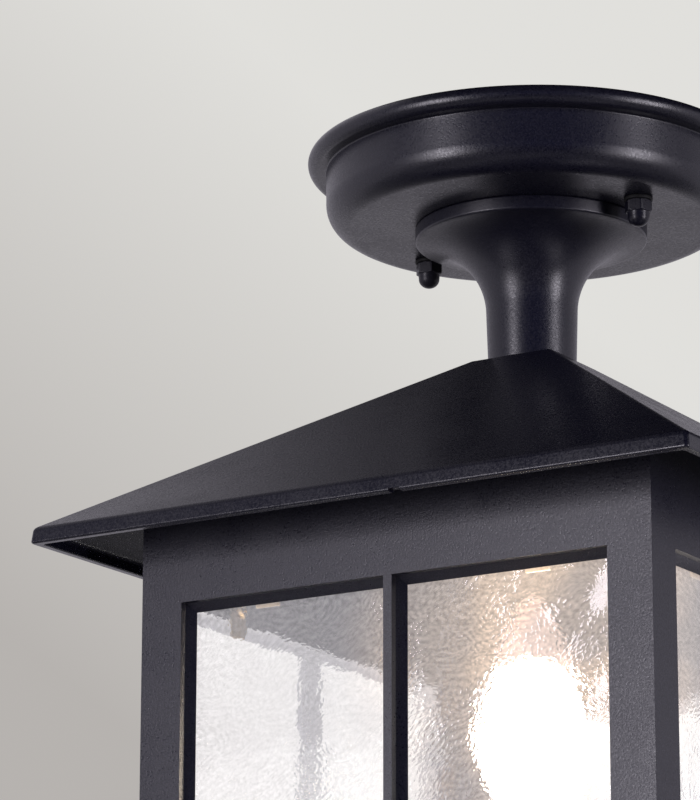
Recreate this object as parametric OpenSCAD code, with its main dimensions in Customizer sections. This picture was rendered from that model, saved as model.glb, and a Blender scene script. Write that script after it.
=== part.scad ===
// Porch ceiling lantern: a round ceiling rose, a trumpet stem, a pyramid roof and a glazed
// square body with one lamp standing on its base. Millimetres, +Z up. The origin is the
// centre of the ceiling face, and everything hangs below it. The front is at -Y.

/* [Ceiling rose] */
// Diameter of the drum
rose_drum_d = 128; // [118:0.5:156]
// How far the rim bead stands out from the drum
rim_overhang = 5.75; // [5:0.25:8]
// Height of the rim bead
rim_bead = 6; // [5:0.5:8]
// Height from the ceiling to the underside
rose_h = 24.2; // [22:0.1:32]
// Radius of the drum's lower edge
rose_edge_r = 8; // [3:0.5:9]
// Wall of the rose
rose_wall = 1.6; // [1.2:0.1:2.4]
// Height of the gasket ring let into the rim
gasket_h = 1.5; // [1:0.1:2.5]

/* [Ceiling fixing] */
// Circle of the two studs and cap nuts
nut_pcd = 90.6; // [84:0.2:104]
// Turn of the strap and nuts from the front of the body, degrees
strap_turn = -14.2; // [-45:0.1:45]
// Circle of the two ceiling screws
screw_pcd = 70; // [64:1:76]
// Hole for a ceiling screw
ceiling_hole_d = 5; // [4:0.5:6]
// Hole for the supply cable
cable_hole_d = 12; // [8:0.5:16]
// Width of the strap
strap_w = 20; // [18:1:26]
// Thickness of the strap
strap_t = 2; // [1.5:0.1:3]
// Thread of the studs
stud_d = 4; // [3.5:0.5:5]

/* [Stem] */
// Diameter of the boss against the rose
boss_d = 72.3; // [66:0.1:80]
// Thickness of the boss edge
boss_t = 4.4; // [3:0.1:8]
// Radius of the trumpet between boss and stem
flare_r = 23; // [18:0.5:28]
// Length from the boss to the roof
stem_len = 39.5; // [34:0.5:60]
// Stem diameter where the trumpet starts
stem_d = 28.4; // [25:0.1:34]
// Stem diameter at its foot
stem_foot_d = 27.4; // [24:0.1:28]
// Thread of the hollow tube that clamps rose, stem and roof
tube_d = 10; // [9:0.5:12]
// Bore of the hollow tube
tube_bore_d = 7.2; // [6.8:0.1:7.6]

/* [Roof] */
// Width over the eaves
roof_w = 220; // [200:1:270]
// Width of the flat top
flat_w = 28.1; // [27:0.1:40]
// Rise from the eave to the flat top
roof_rise = 60.4; // [45:0.2:75]
// Height of the upright edge at the eave
fascia_h = 4.4; // [3:0.1:8]
// Thickness of the upright edge
fascia_t = 3; // [2:0.1:5]
// Thickness of the roof measured upright
roof_t = 2.4; // [2:0.1:4]

/* [Body] */
// Width of the square body
body_w = 171.4; // [150:0.2:206]
// Length of the body below the eave
body_drop = 152; // [144:1:190]
// Thickness of the frame
frame_t = 4.75; // [4:0.05:6]
// Depth of the square part of each reveal
reveal = 2.2; // [1.5:0.1:3]
// Width of the corner posts
post_w = 14.1; // [10:0.1:20]
// Header between the eave and the glass opening
header_h = 17.7; // [14:0.1:30]
// Bottom rail
bottom_rail_h = 24; // [22:0.5:36]
// Front width of the upright bar in each window
mullion_w = 2.9; // [2:0.1:6]
// Thickness of the base plate
base_t = 2; // [1.5:0.1:3]

/* [Glass] */
// Thickness of the textured glass
glass_t = 3; // [2.5:0.1:4]
// How far each pane laps over its opening
glass_lap = 4; // [3:0.1:5]
// Distance of each clip from the side of its opening
clip_inset = 26; // [14:1:32]

/* [Door] */
// Gap round the door leaf
door_gap = 0.5; // [0.4:0.05:1]
// Width of the door's stiles and rails
stile_w = 12; // [11:0.1:14]
// Hinge pin diameter
pin_d = 2.5; // [2:0.1:3]
// Outside diameter of the hinge knuckles
knuckle_d = 6; // [5.5:0.1:7]

/* [Lamp] */
// Height of the lampholder
holder_h = 45; // [40:1:52]
// Diameter of the lampholder
holder_d = 28; // [24:0.5:34]
// Clear height under the lampholder bracket
bracket_h = 19.5; // [18:0.5:26]
// Length of the bulb with its cap
bulb_len = 100; // [92:1:110]
// Largest diameter of the bulb
bulb_d = 35; // [30:0.5:38]
// Diameter of the bulb's screw cap
cap_d = 13.9; // [13:0.1:15]

/* [Hidden] */
$fn = 96;

// Colours
coat_black = "#1c1f27";
zinc = "#a9adb2";
brass_yellow = "#b8954a";
rubber_black = "#222222";
clear_glass = [0.86, 0.90, 0.92, 0.35];
porcelain = "#eeece4";

// Clearances: fixed fits, running fits, and parts that pass each other
fit_gap = 0.1;
run_gap = 0.07;
pass_gap = 0.3;

// How far a cut runs past a face, and how far an added lump runs into its wall
cut = 1;
sink = 0.5;

// Heights of the main faces
z_floor = -rose_h + rose_wall;
z_rose = -rose_h;
z_boss = z_rose - boss_t;
z_flat = z_boss - stem_len;
z_eave_top = z_flat - roof_rise;
z_eave = z_eave_top - fascia_h;
z_base = z_eave - body_drop;

// Half widths
drum_r = rose_drum_d / 2;
gasket_outer_r = drum_r + rim_overhang - rim_bead / 2 - 1;
roof_half = roof_w / 2;
flat_half = flat_w / 2;
body_half = body_w / 2;
inner_half = body_half - frame_t;
roof_slope = roof_rise / (roof_half - flat_half);

// Height of the roof's inner face at a distance from the centre
function roof_inside(half) = z_eave_top + (roof_half - half) * roof_slope - roof_t;

// Windows, the same on every face
win_half = body_half - post_w;
win_top = z_eave - header_h;
win_bottom = z_base + bottom_rail_h;
chamfer = frame_t - reveal;
pane_half = win_half - chamfer + glass_lap;
pane_top = win_top - chamfer + glass_lap;
pane_bottom = win_bottom + chamfer - glass_lap;
pane_out = inner_half;
pane_in = inner_half - glass_t;

// Clips and their screws
clip_w = 8;
clip_l = 12;
clip_t = 1;
clip_boss_r = 3;
clip_boss_gap = 0.5;
clip_screw_r = 1.25;
clip_head_r = 2.7;
clip_head_h = 1.8;
clip_screw_depth = 5.5;
clip_x = win_half - clip_inset;

// Nuts, washers and screws, which grow with their thread
stud_r = stud_d / 2;
stud_flats = stud_d + 3;
cap_nut_h = 2 * stud_d;
cap_nut_hex_h = 0.8 * stud_d;
cap_nut_dome_d = 1.6 * stud_d;
washer_d = 2.4 * stud_d;
washer_t = 1.2;
lock_nut_t = 0.55 * stud_d;
screw_head_r = stud_d;
screw_head_h = 0.65 * stud_d;
tube_r = tube_d / 2;
tube_nut_flats = tube_d + 4;
tube_nut_t = 4;
tube_washer_d = 2.1 * tube_d;
tube_washer_t = 1;
strap_l = nut_pcd + 12;

// Hollow tube and its nuts
roof_flat_t = 2.5;
tube_top = z_floor + tube_washer_t + tube_nut_t + 2;
tube_foot = z_flat - roof_flat_t - tube_washer_t - tube_nut_t - 3.4;
stem_bore_d = 19;
stem_head_t = 9;
seal_groove = [20.6, 24.6, 1];

// Body corners: lugs at the top take the roof screws, bosses at the foot the base screws
body_top = roof_inside(body_half) - fit_gap;
lug_w = 18;
lug_t = 4;
lug_at = inner_half - lug_w / 2;
roof_screw_depth = 6.2;
foot_boss_r = 5;
foot_boss_h = 15;
foot_in = 7;
foot_at = inner_half - foot_in;
foot_screw_depth = 10;

// Door, drawn on the front face and turned to the back
door_half = win_half - door_gap;
door_top = win_top - door_gap;
door_bottom = win_bottom + door_gap;
door_light_half = door_half - stile_w;
door_light_top = door_top - stile_w;
door_light_bottom = door_bottom + stile_w;
door_pane_half = door_light_half - chamfer + glass_lap;
door_pane_top = door_light_top - chamfer + glass_lap;
door_pane_bottom = door_light_bottom + chamfer - glass_lap;
door_clip_x = door_light_half - clip_inset + 8;
stop_lip = 3;
stop_t = 2;
stop_back = 2;
stop_face = inner_half - 0.35;
hinge_x = win_half + 2.9;
hinge_y = -(body_half + 0.2 + knuckle_d / 2);
knuckle_r = knuckle_d / 2;
hinge_len = 20;
knuckle_end = 6;
knuckle_web = 7;
hinge_inset = 16;
strap_reach = 10;
leaf_t = 1.9;
leaf_out = hinge_y - 0.2;
hinge_z = [door_top - hinge_inset, door_bottom + hinge_inset];
catch_x = -(door_half - stile_w / 2 - 1);
catch_z = (door_top + door_bottom) / 2;
spindle_r = 2;
cam_l = 11;
cam_w = 6;
cam_t = 2;
cam_face = stop_face - stop_t - pass_gap;

// Lamp stack, from the base plate up
z_plate = z_base + base_t;
bracket_t = 1.5;
bracket_w = 20;
bracket_span = 44;
bracket_foot = 11;
rivet_r = 1.6;
z_holder = z_plate + bracket_h + bracket_t;
z_holder_top = z_holder + holder_h;
cap_len = 24;
contact_gap = 0.3;
z_bulb = z_holder_top - cap_len;
z_tip = z_bulb + bulb_len;
cap_r = cap_d / 2;
sleeve_r = cap_r + pass_gap;
sleeve_t = 0.6;
bulb_neck_r = cap_r - 0.8;
bulb_wall = 0.8;

// Terminal block on the rose floor, along the diagonal that the leads follow
block = [12, 24, 10];
block_at = 38;
pole_pitch = 7;
lead_r = 1.1;
saddle_w = inner_half - win_half - stop_back - 0.35;
corner_run = (inner_half - saddle_w / 2 - 0.45) * sqrt(2);
earth_at = 27;
earth_boss_l = 10;
earth_boss_z = roof_inside(earth_at / sqrt(2)) - earth_boss_l;

// ---------- shared shapes ----------

module ring(outer, inner, low, high) {
    translate([0, 0, low]) difference() {
        cylinder(r = outer, h = high - low);
        translate([0, 0, -cut]) cylinder(r = inner, h = high - low + 2 * cut);
    }
}

module hex_nut(flats, bore, low, high) {
    translate([0, 0, low]) difference() {
        cylinder(d = flats / cos(30), h = high - low, $fn = 6);
        translate([0, 0, -cut]) cylinder(r = bore, h = high - low + 2 * cut);
    }
}

// A box given by its low and high corners
module block_between(low, high) {
    translate(low) cube(high - low);
}

// Turns a thing drawn on the front face to another face
module on_face(turn) {
    rotate([0, 0, turn]) children();
}

module at_nuts() {
    for (side = [0, 180])
        rotate([0, 0, strap_turn + side]) translate([nut_pcd / 2, 0, 0]) children();
}

module at_corners(reach) {
    for (sx = [-1, 1], sy = [-1, 1])
        translate([sx * reach, sy * reach, 0]) children();
}

// A four-sided solid whose outline is the same profile seen from the front and the side
module square_turned(profile, reach) {
    intersection() {
        translate([0, reach, 0]) rotate([90, 0, 0])
            linear_extrude(2 * reach) polygon(profile);
        rotate([0, 0, 90]) translate([0, reach, 0]) rotate([90, 0, 0])
            linear_extrude(2 * reach) polygon(profile);
    }
}

// One glazed opening cut through a face at y = -half: a square reveal, then a chamfer
// that narrows to the glass
module light_cut(half, x0, x1, z0, z1) {
    y_face = -half;
    y_step = -half + reveal;
    y_glass = -half + frame_t;
    block_between([x0, y_face - cut, z0], [x1, y_step, z1]);
    intersection() {
        translate([0, 0, z0]) linear_extrude(z1 - z0) polygon([
            [x0, y_step], [x1, y_step], [x1 - chamfer, y_glass],
            [x1 - chamfer, y_glass + cut], [x0 + chamfer, y_glass + cut],
            [x0 + chamfer, y_glass]
        ]);
        translate([x0, 0, 0]) rotate([90, 0, 90]) linear_extrude(x1 - x0) polygon([
            [y_step, z0], [y_step, z1], [y_glass, z1 - chamfer],
            [y_glass + cut, z1 - chamfer], [y_glass + cut, z0 + chamfer],
            [y_glass, z0 + chamfer]
        ]);
    }
}

// Two lights with the upright bar between them
module window_cut(half, opening_half, z0, z1) {
    light_cut(half, -opening_half, -mullion_w / 2, z0, z1);
    light_cut(half, mullion_w / 2, opening_half, z0, z1);
}

// Places for the four clips of a pane on the front face; side is +1 above, -1 below
module at_clips(x_at, top, bottom) {
    for (sx = [-1, 1], side = [-1, 1]) {
        z_edge = side > 0 ? top : bottom;
        translate([sx * x_at, 0, z_edge + side * (clip_boss_r + clip_boss_gap)])
            rotate([0, side > 0 ? 0 : 180, 0]) children();
    }
}

module clip_boss() {
    rotate([90, 0, 0]) translate([0, 0, pane_in]) cylinder(r = clip_boss_r, h = glass_t + sink);
}

module clip_hole() {
    rotate([90, 0, 0]) translate([0, 0, pane_in - cut])
        cylinder(r = clip_screw_r + fit_gap / 2, h = clip_screw_depth + cut);
}

module clip_plate() {
    difference() {
        block_between([-clip_w / 2, -pane_in, -clip_l + clip_w / 2],
                      [clip_w / 2, -pane_in + clip_t, clip_w / 2]);
        rotate([90, 0, 0]) translate([0, 0, pane_in - clip_t - cut])
            cylinder(r = clip_screw_r + 2 * fit_gap, h = clip_t + 2 * cut);
    }
}

module clip_screw() {
    rotate([90, 0, 0]) {
        translate([0, 0, pane_in - clip_t - clip_head_h]) cylinder(r = clip_head_r, h = clip_head_h);
        translate([0, 0, pane_in - clip_t]) cylinder(r = clip_screw_r, h = clip_screw_depth + clip_t - 0.5);
    }
}

// ---------- rose and ceiling fixing ----------

module rose_profile() {
    rim_r = drum_r + rim_overhang;
    inner_r = drum_r - rose_wall;
    inner_edge_r = rose_edge_r - rose_wall;
    difference() {
        union() {
            translate([0, -rose_h]) square([drum_r - rose_edge_r, rose_h]);
            translate([0, -rose_h + rose_edge_r]) square([drum_r, rose_h - rose_edge_r]);
            translate([drum_r - rose_edge_r, -rose_h + rose_edge_r]) circle(r = rose_edge_r);
            translate([0, -rim_bead]) square([rim_r - rim_bead / 2, rim_bead]);
            translate([rim_r - rim_bead / 2, -rim_bead / 2]) circle(r = rim_bead / 2);
        }
        translate([0, z_floor]) square([inner_r - inner_edge_r, rose_h + cut]);
        translate([0, z_floor + inner_edge_r]) square([inner_r, rose_h + cut]);
        translate([inner_r - inner_edge_r, z_floor + inner_edge_r]) circle(r = inner_edge_r);
        translate([0, -gasket_h]) square([gasket_outer_r + fit_gap, gasket_h + cut]);
    }
}

module rose() {
    color(coat_black) difference() {
        rotate_extrude() intersection() {
            rose_profile();
            translate([0, -2 * rose_h]) square([2 * drum_r, 3 * rose_h]);
        }
        translate([0, 0, z_rose - cut]) cylinder(r = tube_r + fit_gap, h = rose_wall + 2 * cut);
        at_nuts() translate([0, 0, z_rose - cut])
            cylinder(r = stud_r + fit_gap, h = rose_wall + 2 * cut);
    }
}

module ceiling_gasket() {
    color(rubber_black) ring(gasket_outer_r, drum_r - rose_wall + fit_gap, -gasket_h, 0);
}

module ceiling_strap() {
    color(zinc) difference() {
        rotate([0, 0, strap_turn]) block_between([-strap_l / 2, -strap_w / 2, -strap_t],
                                                 [strap_l / 2, strap_w / 2, 0]);
        translate([0, 0, -strap_t - cut]) cylinder(d = cable_hole_d, h = strap_t + 2 * cut);
        for (side = [0, 180]) rotate([0, 0, strap_turn + side])
            translate([screw_pcd / 2, 0, -strap_t - cut])
                cylinder(d = ceiling_hole_d, h = strap_t + 2 * cut);
        at_nuts() translate([0, 0, -strap_t - cut])
            cylinder(r = stud_r + fit_gap, h = strap_t + 2 * cut);
    }
}

module strap_studs() {
    stud_end = z_rose - washer_t - cap_nut_h + cap_nut_dome_d / 2;
    color(zinc) at_nuts() translate([0, 0, stud_end]) cylinder(r = stud_r, h = -stud_end);
}

module stud_lock_nuts() {
    color(zinc) at_nuts()
        hex_nut(stud_flats, stud_r + fit_gap / 2, -strap_t - lock_nut_t, -strap_t);
}

module sealing_washers() {
    color(rubber_black) at_nuts()
        ring(washer_d / 2, stud_r + fit_gap, z_rose - washer_t, z_rose);
}

module cap_nuts() {
    dome_r = cap_nut_dome_d / 2;
    nut_top = z_rose - washer_t;
    color(coat_black) at_nuts() difference() {
        union() {
            translate([0, 0, nut_top - cap_nut_hex_h])
                cylinder(d = stud_flats / cos(30), h = cap_nut_hex_h, $fn = 6);
            translate([0, 0, nut_top - cap_nut_h + dome_r])
                cylinder(r = dome_r, h = cap_nut_h - dome_r - cap_nut_hex_h + 0.5);
            translate([0, 0, nut_top - cap_nut_h + dome_r]) sphere(r = dome_r);
        }
        translate([0, 0, nut_top - cap_nut_h + dome_r - 0.2])
            cylinder(r = stud_r + fit_gap / 2, h = cap_nut_h);
    }
}

// ---------- stem and clamping tube ----------

module stem() {
    boss_r = boss_d / 2;
    stem_r = stem_d / 2;
    flare_out = stem_r + flare_r;
    z_flare = z_boss - flare_r;
    color(coat_black) difference() {
        rotate_extrude() difference() {
            union() {
                translate([0, z_boss]) square([boss_r, boss_t]);
                translate([0, z_flare]) square([min(boss_r, flare_out), flare_r]);
                polygon([[0, z_flat], [stem_foot_d / 2, z_flat], [stem_r, z_flare], [0, z_flare]]);
            }
            translate([flare_out, z_flare]) circle(r = flare_r);
        }
        translate([0, 0, z_flat - cut])
            cylinder(d = stem_bore_d, h = boss_t + stem_len - stem_head_t + cut);
        translate([0, 0, z_rose - stem_head_t - cut])
            cylinder(r = tube_r + fit_gap, h = stem_head_t + 2 * cut);
        ring(seal_groove[1] / 2, seal_groove[0] / 2, z_flat - cut, z_flat + seal_groove[2]);
    }
}

module stem_seal() {
    color(rubber_black) ring(seal_groove[1] / 2 - fit_gap, seal_groove[0] / 2 + fit_gap,
                             z_flat, z_flat + seal_groove[2]);
}

module threaded_tube() {
    color(zinc) ring(tube_r, tube_bore_d / 2, tube_foot, tube_top);
}

module upper_washer() {
    color(zinc) ring(tube_washer_d / 2, tube_r + fit_gap, z_floor, z_floor + tube_washer_t);
}

module upper_lock_nut() {
    nut_low = z_floor + tube_washer_t;
    color(zinc) hex_nut(tube_nut_flats, tube_r + fit_gap / 2, nut_low, nut_low + tube_nut_t);
}

module lower_washer() {
    washer_high = z_flat - roof_flat_t;
    color(zinc) ring(tube_washer_d / 2, tube_r + fit_gap, washer_high - tube_washer_t, washer_high);
}

module lower_lock_nut() {
    nut_high = z_flat - roof_flat_t - tube_washer_t;
    color(zinc) hex_nut(tube_nut_flats, tube_r + fit_gap / 2, nut_high - tube_nut_t, nut_high);
}

module tube_bush() {
    bush_wall = 0.35;
    bush_bore = tube_bore_d / 2 - fit_gap / 2 - bush_wall;
    color(rubber_black) {
        ring(tube_bore_d / 2 - fit_gap / 2, bush_bore, tube_foot, tube_foot + 5);
        ring(tube_r, bush_bore, tube_foot - 1.2, tube_foot);
    }
}

// ---------- roof ----------

roof_outer_profile = [
    [-roof_half, z_eave], [roof_half, z_eave], [roof_half, z_eave_top],
    [flat_half, z_flat], [-flat_half, z_flat], [-roof_half, z_eave_top]
];

module roof_hollow() {
    edge_half = roof_half - fascia_t;
    top_half = roof_half - (z_flat - roof_flat_t + roof_t - z_eave_top) / roof_slope;
    square_turned([
        [-edge_half, z_eave - cut], [edge_half, z_eave - cut],
        [edge_half, roof_inside(edge_half)], [top_half, z_flat - roof_flat_t],
        [-top_half, z_flat - roof_flat_t], [-edge_half, roof_inside(edge_half)]
    ], roof_half);
}

module roof() {
    notch_w = 3.6;
    notch_h = 0.8;
    notch_x = 17;
    color(coat_black) difference() {
        union() {
            difference() {
                square_turned(roof_outer_profile, roof_half);
                roof_hollow();
            }
            intersection() {
                square_turned(roof_outer_profile, roof_half);
                union() {
                    at_corners(lug_at) translate([0, 0, body_top])
                        cylinder(r = 5, h = roof_half);
                    rotate([0, 0, -45]) translate([earth_at, 0, earth_boss_z])
                        cylinder(r = 4, h = roof_half);
                }
            }
        }
        translate([0, 0, z_flat - roof_flat_t - cut])
            cylinder(r = tube_r + fit_gap, h = roof_flat_t + 2 * cut);
        at_corners(lug_at) translate([0, 0, body_top - cut])
            cylinder(r = stud_r + fit_gap / 2, h = roof_screw_depth + cut);
        rotate([0, 0, -45]) translate([earth_at, 0, earth_boss_z - cut])
            cylinder(r = stud_r + fit_gap / 2, h = earth_boss_l - 3 + cut);
        block_between([notch_x - notch_w / 2, -roof_half - cut, z_eave - cut],
                      [notch_x + notch_w / 2, -roof_half + fascia_t + cut, z_eave + notch_h]);
    }
}

module roof_screws() {
    lug_under = body_top - lug_t;
    color(zinc) at_corners(lug_at) {
        translate([0, 0, lug_under - screw_head_h]) cylinder(r = screw_head_r, h = screw_head_h);
        translate([0, 0, lug_under]) cylinder(r = stud_r, h = lug_t + roof_screw_depth - 0.5);
    }
}

// ---------- body ----------

module corner_lug() {
    difference() {
        block_between([0, 0, body_top - lug_t], [lug_w + 1, lug_w + 1, body_top]);
        translate([lug_w / 2, lug_w / 2, body_top - lug_t - cut])
            cylinder(r = stud_r + 2 * fit_gap, h = lug_t + 2 * cut);
    }
}

module foot_boss() {
    difference() {
        union() {
            cylinder(r = foot_boss_r, h = foot_boss_h);
            block_between([0, 0, 0], [foot_in + sink, foot_in + sink, foot_boss_h]);
        }
        translate([0, 0, -cut]) cylinder(r = stud_r + fit_gap / 2, h = foot_screw_depth + cut);
    }
}

module body_knuckles() {
    for (z_mid = hinge_z, side = [-1, 1]) {
        z_end = side * hinge_len / 2;
        low = z_mid + min(z_end, z_end - side * knuckle_end);
        difference() {
            union() {
                translate([hinge_x, hinge_y, low]) cylinder(r = knuckle_r, h = knuckle_end);
                block_between([hinge_x, hinge_y, low],
                              [hinge_x + knuckle_web, -body_half + sink, low + knuckle_end]);
            }
            translate([hinge_x, hinge_y, low - cut])
                cylinder(r = pin_d / 2 + run_gap, h = knuckle_end + 2 * cut);
        }
    }
}

// The ledge inside the back opening that the door closes against
module door_stop() {
    difference() {
        block_between([-win_half - stop_back, -stop_face, win_bottom - stop_back],
                      [win_half + stop_back, -stop_face + stop_t, win_top + stop_back]);
        block_between([-win_half + stop_lip, -stop_face - cut, win_bottom + stop_lip],
                      [win_half - stop_lip, -stop_face + stop_t + cut, win_top - stop_lip]);
    }
    difference() {
        block_between([-win_half - stop_back, -inner_half - cut, win_bottom - stop_back],
                      [win_half + stop_back, -stop_face + cut, win_top + stop_back]);
        block_between([-win_half, -inner_half - 2 * cut, win_bottom],
                      [win_half, -stop_face + 2 * cut, win_top]);
    }
}

module body_frame() {
    color(coat_black) difference() {
        union() {
            difference() {
                block_between([-body_half, -body_half, z_base], [body_half, body_half, body_top]);
                block_between([-inner_half, -inner_half, z_base - cut],
                              [inner_half, inner_half, body_top + cut]);
                for (turn = [0, 90, 270])
                    on_face(turn) window_cut(body_half, win_half, win_bottom, win_top);
                on_face(180) block_between([-win_half, -body_half - cut, win_bottom],
                                           [win_half, -inner_half + cut, win_top]);
            }
            for (turn = [0, 90, 180, 270]) on_face(turn) {
                translate([inner_half - lug_w, inner_half - lug_w, 0]) corner_lug();
                translate([foot_at, foot_at, z_plate]) foot_boss();
            }
            for (turn = [0, 90, 270])
                on_face(turn) at_clips(clip_x, pane_top, pane_bottom) clip_boss();
            on_face(180) door_stop();
            on_face(180) body_knuckles();
        }
        for (turn = [0, 90, 270])
            on_face(turn) at_clips(clip_x, pane_top, pane_bottom) clip_hole();
    }
}

module pane(half, top, bottom) {
    color(clear_glass) block_between([-half, -pane_out, bottom], [half, -pane_in, top]);
}

module glass_front() {
    pane(pane_half, pane_top, pane_bottom);
}

module glass_right() {
    on_face(90) pane(pane_half, pane_top, pane_bottom);
}

module glass_left() {
    on_face(270) pane(pane_half, pane_top, pane_bottom);
}

module glass_clips() {
    color(zinc) for (turn = [0, 90, 270])
        on_face(turn) at_clips(clip_x, pane_top, pane_bottom) clip_plate();
}

module glass_clip_screws() {
    color(zinc) for (turn = [0, 90, 270])
        on_face(turn) at_clips(clip_x, pane_top, pane_bottom) clip_screw();
}

module base_plate() {
    drain_at = 50;
    drain_r = 2.5;
    plate_half = inner_half - pass_gap;
    color(coat_black) difference() {
        block_between([-plate_half, -plate_half, z_base], [plate_half, plate_half, z_plate]);
        at_corners(foot_at) translate([0, 0, z_base - cut])
            cylinder(r = stud_r + 2 * fit_gap, h = base_t + 2 * cut);
        at_corners(drain_at) translate([0, 0, z_base - cut])
            cylinder(r = drain_r, h = base_t + 2 * cut);
        at_rivets() translate([0, 0, z_base - cut])
            cylinder(r = rivet_r + fit_gap, h = base_t + 2 * cut);
    }
}

module base_screws() {
    color(zinc) at_corners(foot_at) {
        translate([0, 0, z_base - screw_head_h]) cylinder(r = screw_head_r, h = screw_head_h);
        translate([0, 0, z_base]) cylinder(r = stud_r, h = base_t + foot_screw_depth - 0.5);
    }
}

// ---------- lampholder and bulb ----------

module at_rivets() {
    for (side = [-1, 1]) translate([side * (bracket_span + bracket_foot) / 2, 0, 0]) children();
}

module holder_bracket() {
    half = bracket_span / 2;
    color(zinc) difference() {
        translate([0, bracket_w / 2, 0]) rotate([90, 0, 0]) linear_extrude(bracket_w) polygon([
            [-half - bracket_foot, z_plate], [-half + bracket_t, z_plate],
            [-half + bracket_t, z_holder - bracket_t], [half - bracket_t, z_holder - bracket_t],
            [half - bracket_t, z_plate], [half + bracket_foot, z_plate],
            [half + bracket_foot, z_plate + bracket_t], [half, z_plate + bracket_t],
            [half, z_holder], [-half, z_holder],
            [-half, z_plate + bracket_t], [-half - bracket_foot, z_plate + bracket_t]
        ]);
        translate([0, 0, z_holder - bracket_t - cut])
            cylinder(r = tube_r + fit_gap, h = bracket_t + 2 * cut);
        at_rivets() translate([0, 0, z_plate - cut])
            cylinder(r = rivet_r + fit_gap, h = bracket_t + 2 * cut);
    }
}

module bracket_rivets() {
    head_r = 3;
    head_h = 1;
    color(zinc) at_rivets() {
        translate([0, 0, z_base - head_h]) cylinder(r = head_r, h = head_h);
        translate([0, 0, z_base]) cylinder(r = rivet_r, h = base_t + bracket_t);
        translate([0, 0, z_plate + bracket_t]) cylinder(r = head_r, h = head_h);
    }
}

nipple_in = 8;
nipple_out = 4.5;
holder_nut_t = 3;

module holder_nipple() {
    color(zinc) ring(tube_r, tube_bore_d / 2, z_holder - bracket_t - nipple_out,
                     z_holder + nipple_in);
}

module holder_nut() {
    nut_high = z_holder - bracket_t;
    color(zinc) hex_nut(tube_nut_flats, tube_r + fit_gap / 2, nut_high - holder_nut_t, nut_high);
}

module lampholder() {
    bore_r = sleeve_r + sleeve_t + fit_gap;
    bore_low = z_bulb - 3;
    shoulder_h = 16;
    color(porcelain) difference() {
        union() {
            translate([0, 0, z_holder]) cylinder(d = holder_d, h = shoulder_h);
            translate([0, 0, z_holder + shoulder_h])
                cylinder(d1 = holder_d, d2 = holder_d - 4, h = 4);
            translate([0, 0, z_holder + shoulder_h + 4])
                cylinder(d = holder_d - 4, h = holder_h - shoulder_h - 4);
        }
        translate([0, 0, bore_low]) cylinder(r = bore_r, h = holder_h);
        translate([0, 0, z_holder - cut]) cylinder(r = tube_r + fit_gap, h = nipple_in + 0.5 + cut);
        translate([0, 0, z_holder + nipple_in]) cylinder(r = tube_r - 1, h = holder_h / 2);
    }
}

module lampholder_sleeve() {
    color(brass_yellow) ring(sleeve_r + sleeve_t, sleeve_r, z_bulb - 2.5, z_holder_top - 2);
}

module centre_contact() {
    foot_low = z_bulb - 3;
    color(brass_yellow) {
        translate([0, 0, foot_low]) cylinder(r = sleeve_r - 1, h = 0.8);
        translate([0, 0, foot_low]) cylinder(r = 2, h = 3 - contact_gap);
    }
}

// Outline of the candle bulb as a radius at a share of the glass height: two cubic curves,
// from the neck to the widest place and from there to the tip
function bezier(p, t) =
    pow(1 - t, 3) * p[0] + 3 * pow(1 - t, 2) * t * p[1]
    + 3 * (1 - t) * t * t * p[2] + t * t * t * p[3];

function bulb_outline(wall) =
    let (
        r_max = bulb_d / 2 - wall,
        neck = bulb_neck_r - wall,
        low = z_holder_top,
        high = z_tip - wall,
        glass_h = high - low,
        z_max = low + 0.38 * glass_h,
        steps = 10
    )
    concat(
        [[0, low + wall], [neck, low + wall]],
        [for (i = [1:steps]) let (t = i / steps) [
            bezier([neck, neck + 1, r_max, r_max], t),
            bezier([low + wall, low + 0.13 * glass_h, low + 0.22 * glass_h, z_max], t)]],
        [for (i = [1:steps - 1]) let (t = i / steps) [
            bezier([r_max, r_max, 3.4, 0], t),
            bezier([z_max, low + 0.62 * glass_h, high - 9, high], t)]],
        [[0, high]]
    );

module bulb_envelope() {
    color(clear_glass) difference() {
        rotate_extrude() polygon(bulb_outline(0));
        rotate_extrude() polygon(bulb_outline(bulb_wall));
    }
}

module bulb_cap() {
    skirt = 3;
    color(brass_yellow) difference() {
        union() {
            translate([0, 0, z_bulb + skirt]) cylinder(r = cap_r, h = cap_len - skirt);
            translate([0, 0, z_bulb + 1]) cylinder(r1 = 3.5, r2 = cap_r - 1, h = skirt - 1);
            translate([0, 0, z_bulb]) cylinder(r = 2.4, h = 1);
        }
        translate([0, 0, z_bulb + 2 * skirt]) cylinder(r = cap_r - 0.5, h = cap_len);
    }
    color(brass_yellow) ring(cap_r - 0.4, 2.6, z_holder_top - 1, z_holder_top);
}

// Filament sticks on a glass post
module bulb_filament() {
    post_low = z_holder_top + bulb_wall;
    post_top = z_holder_top + 18;
    stick_r = 0.9;
    stick_l = 34;
    ring_r = 4.2;
    color("#f2c46b") {
        translate([0, 0, post_low]) cylinder(r = 2.4, h = post_top - post_low);
        translate([0, 0, post_top - 1]) cylinder(r = ring_r + stick_r, h = 1);
        for (i = [0:3]) rotate([0, 0, 90 * i]) translate([ring_r - stick_r - 0.2, 0, post_top - 0.5])
            cylinder(r = stick_r, h = stick_l + 1);
        translate([0, 0, post_top + stick_l]) cylinder(r = ring_r, h = 1);
    }
}

// ---------- door ----------

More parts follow.
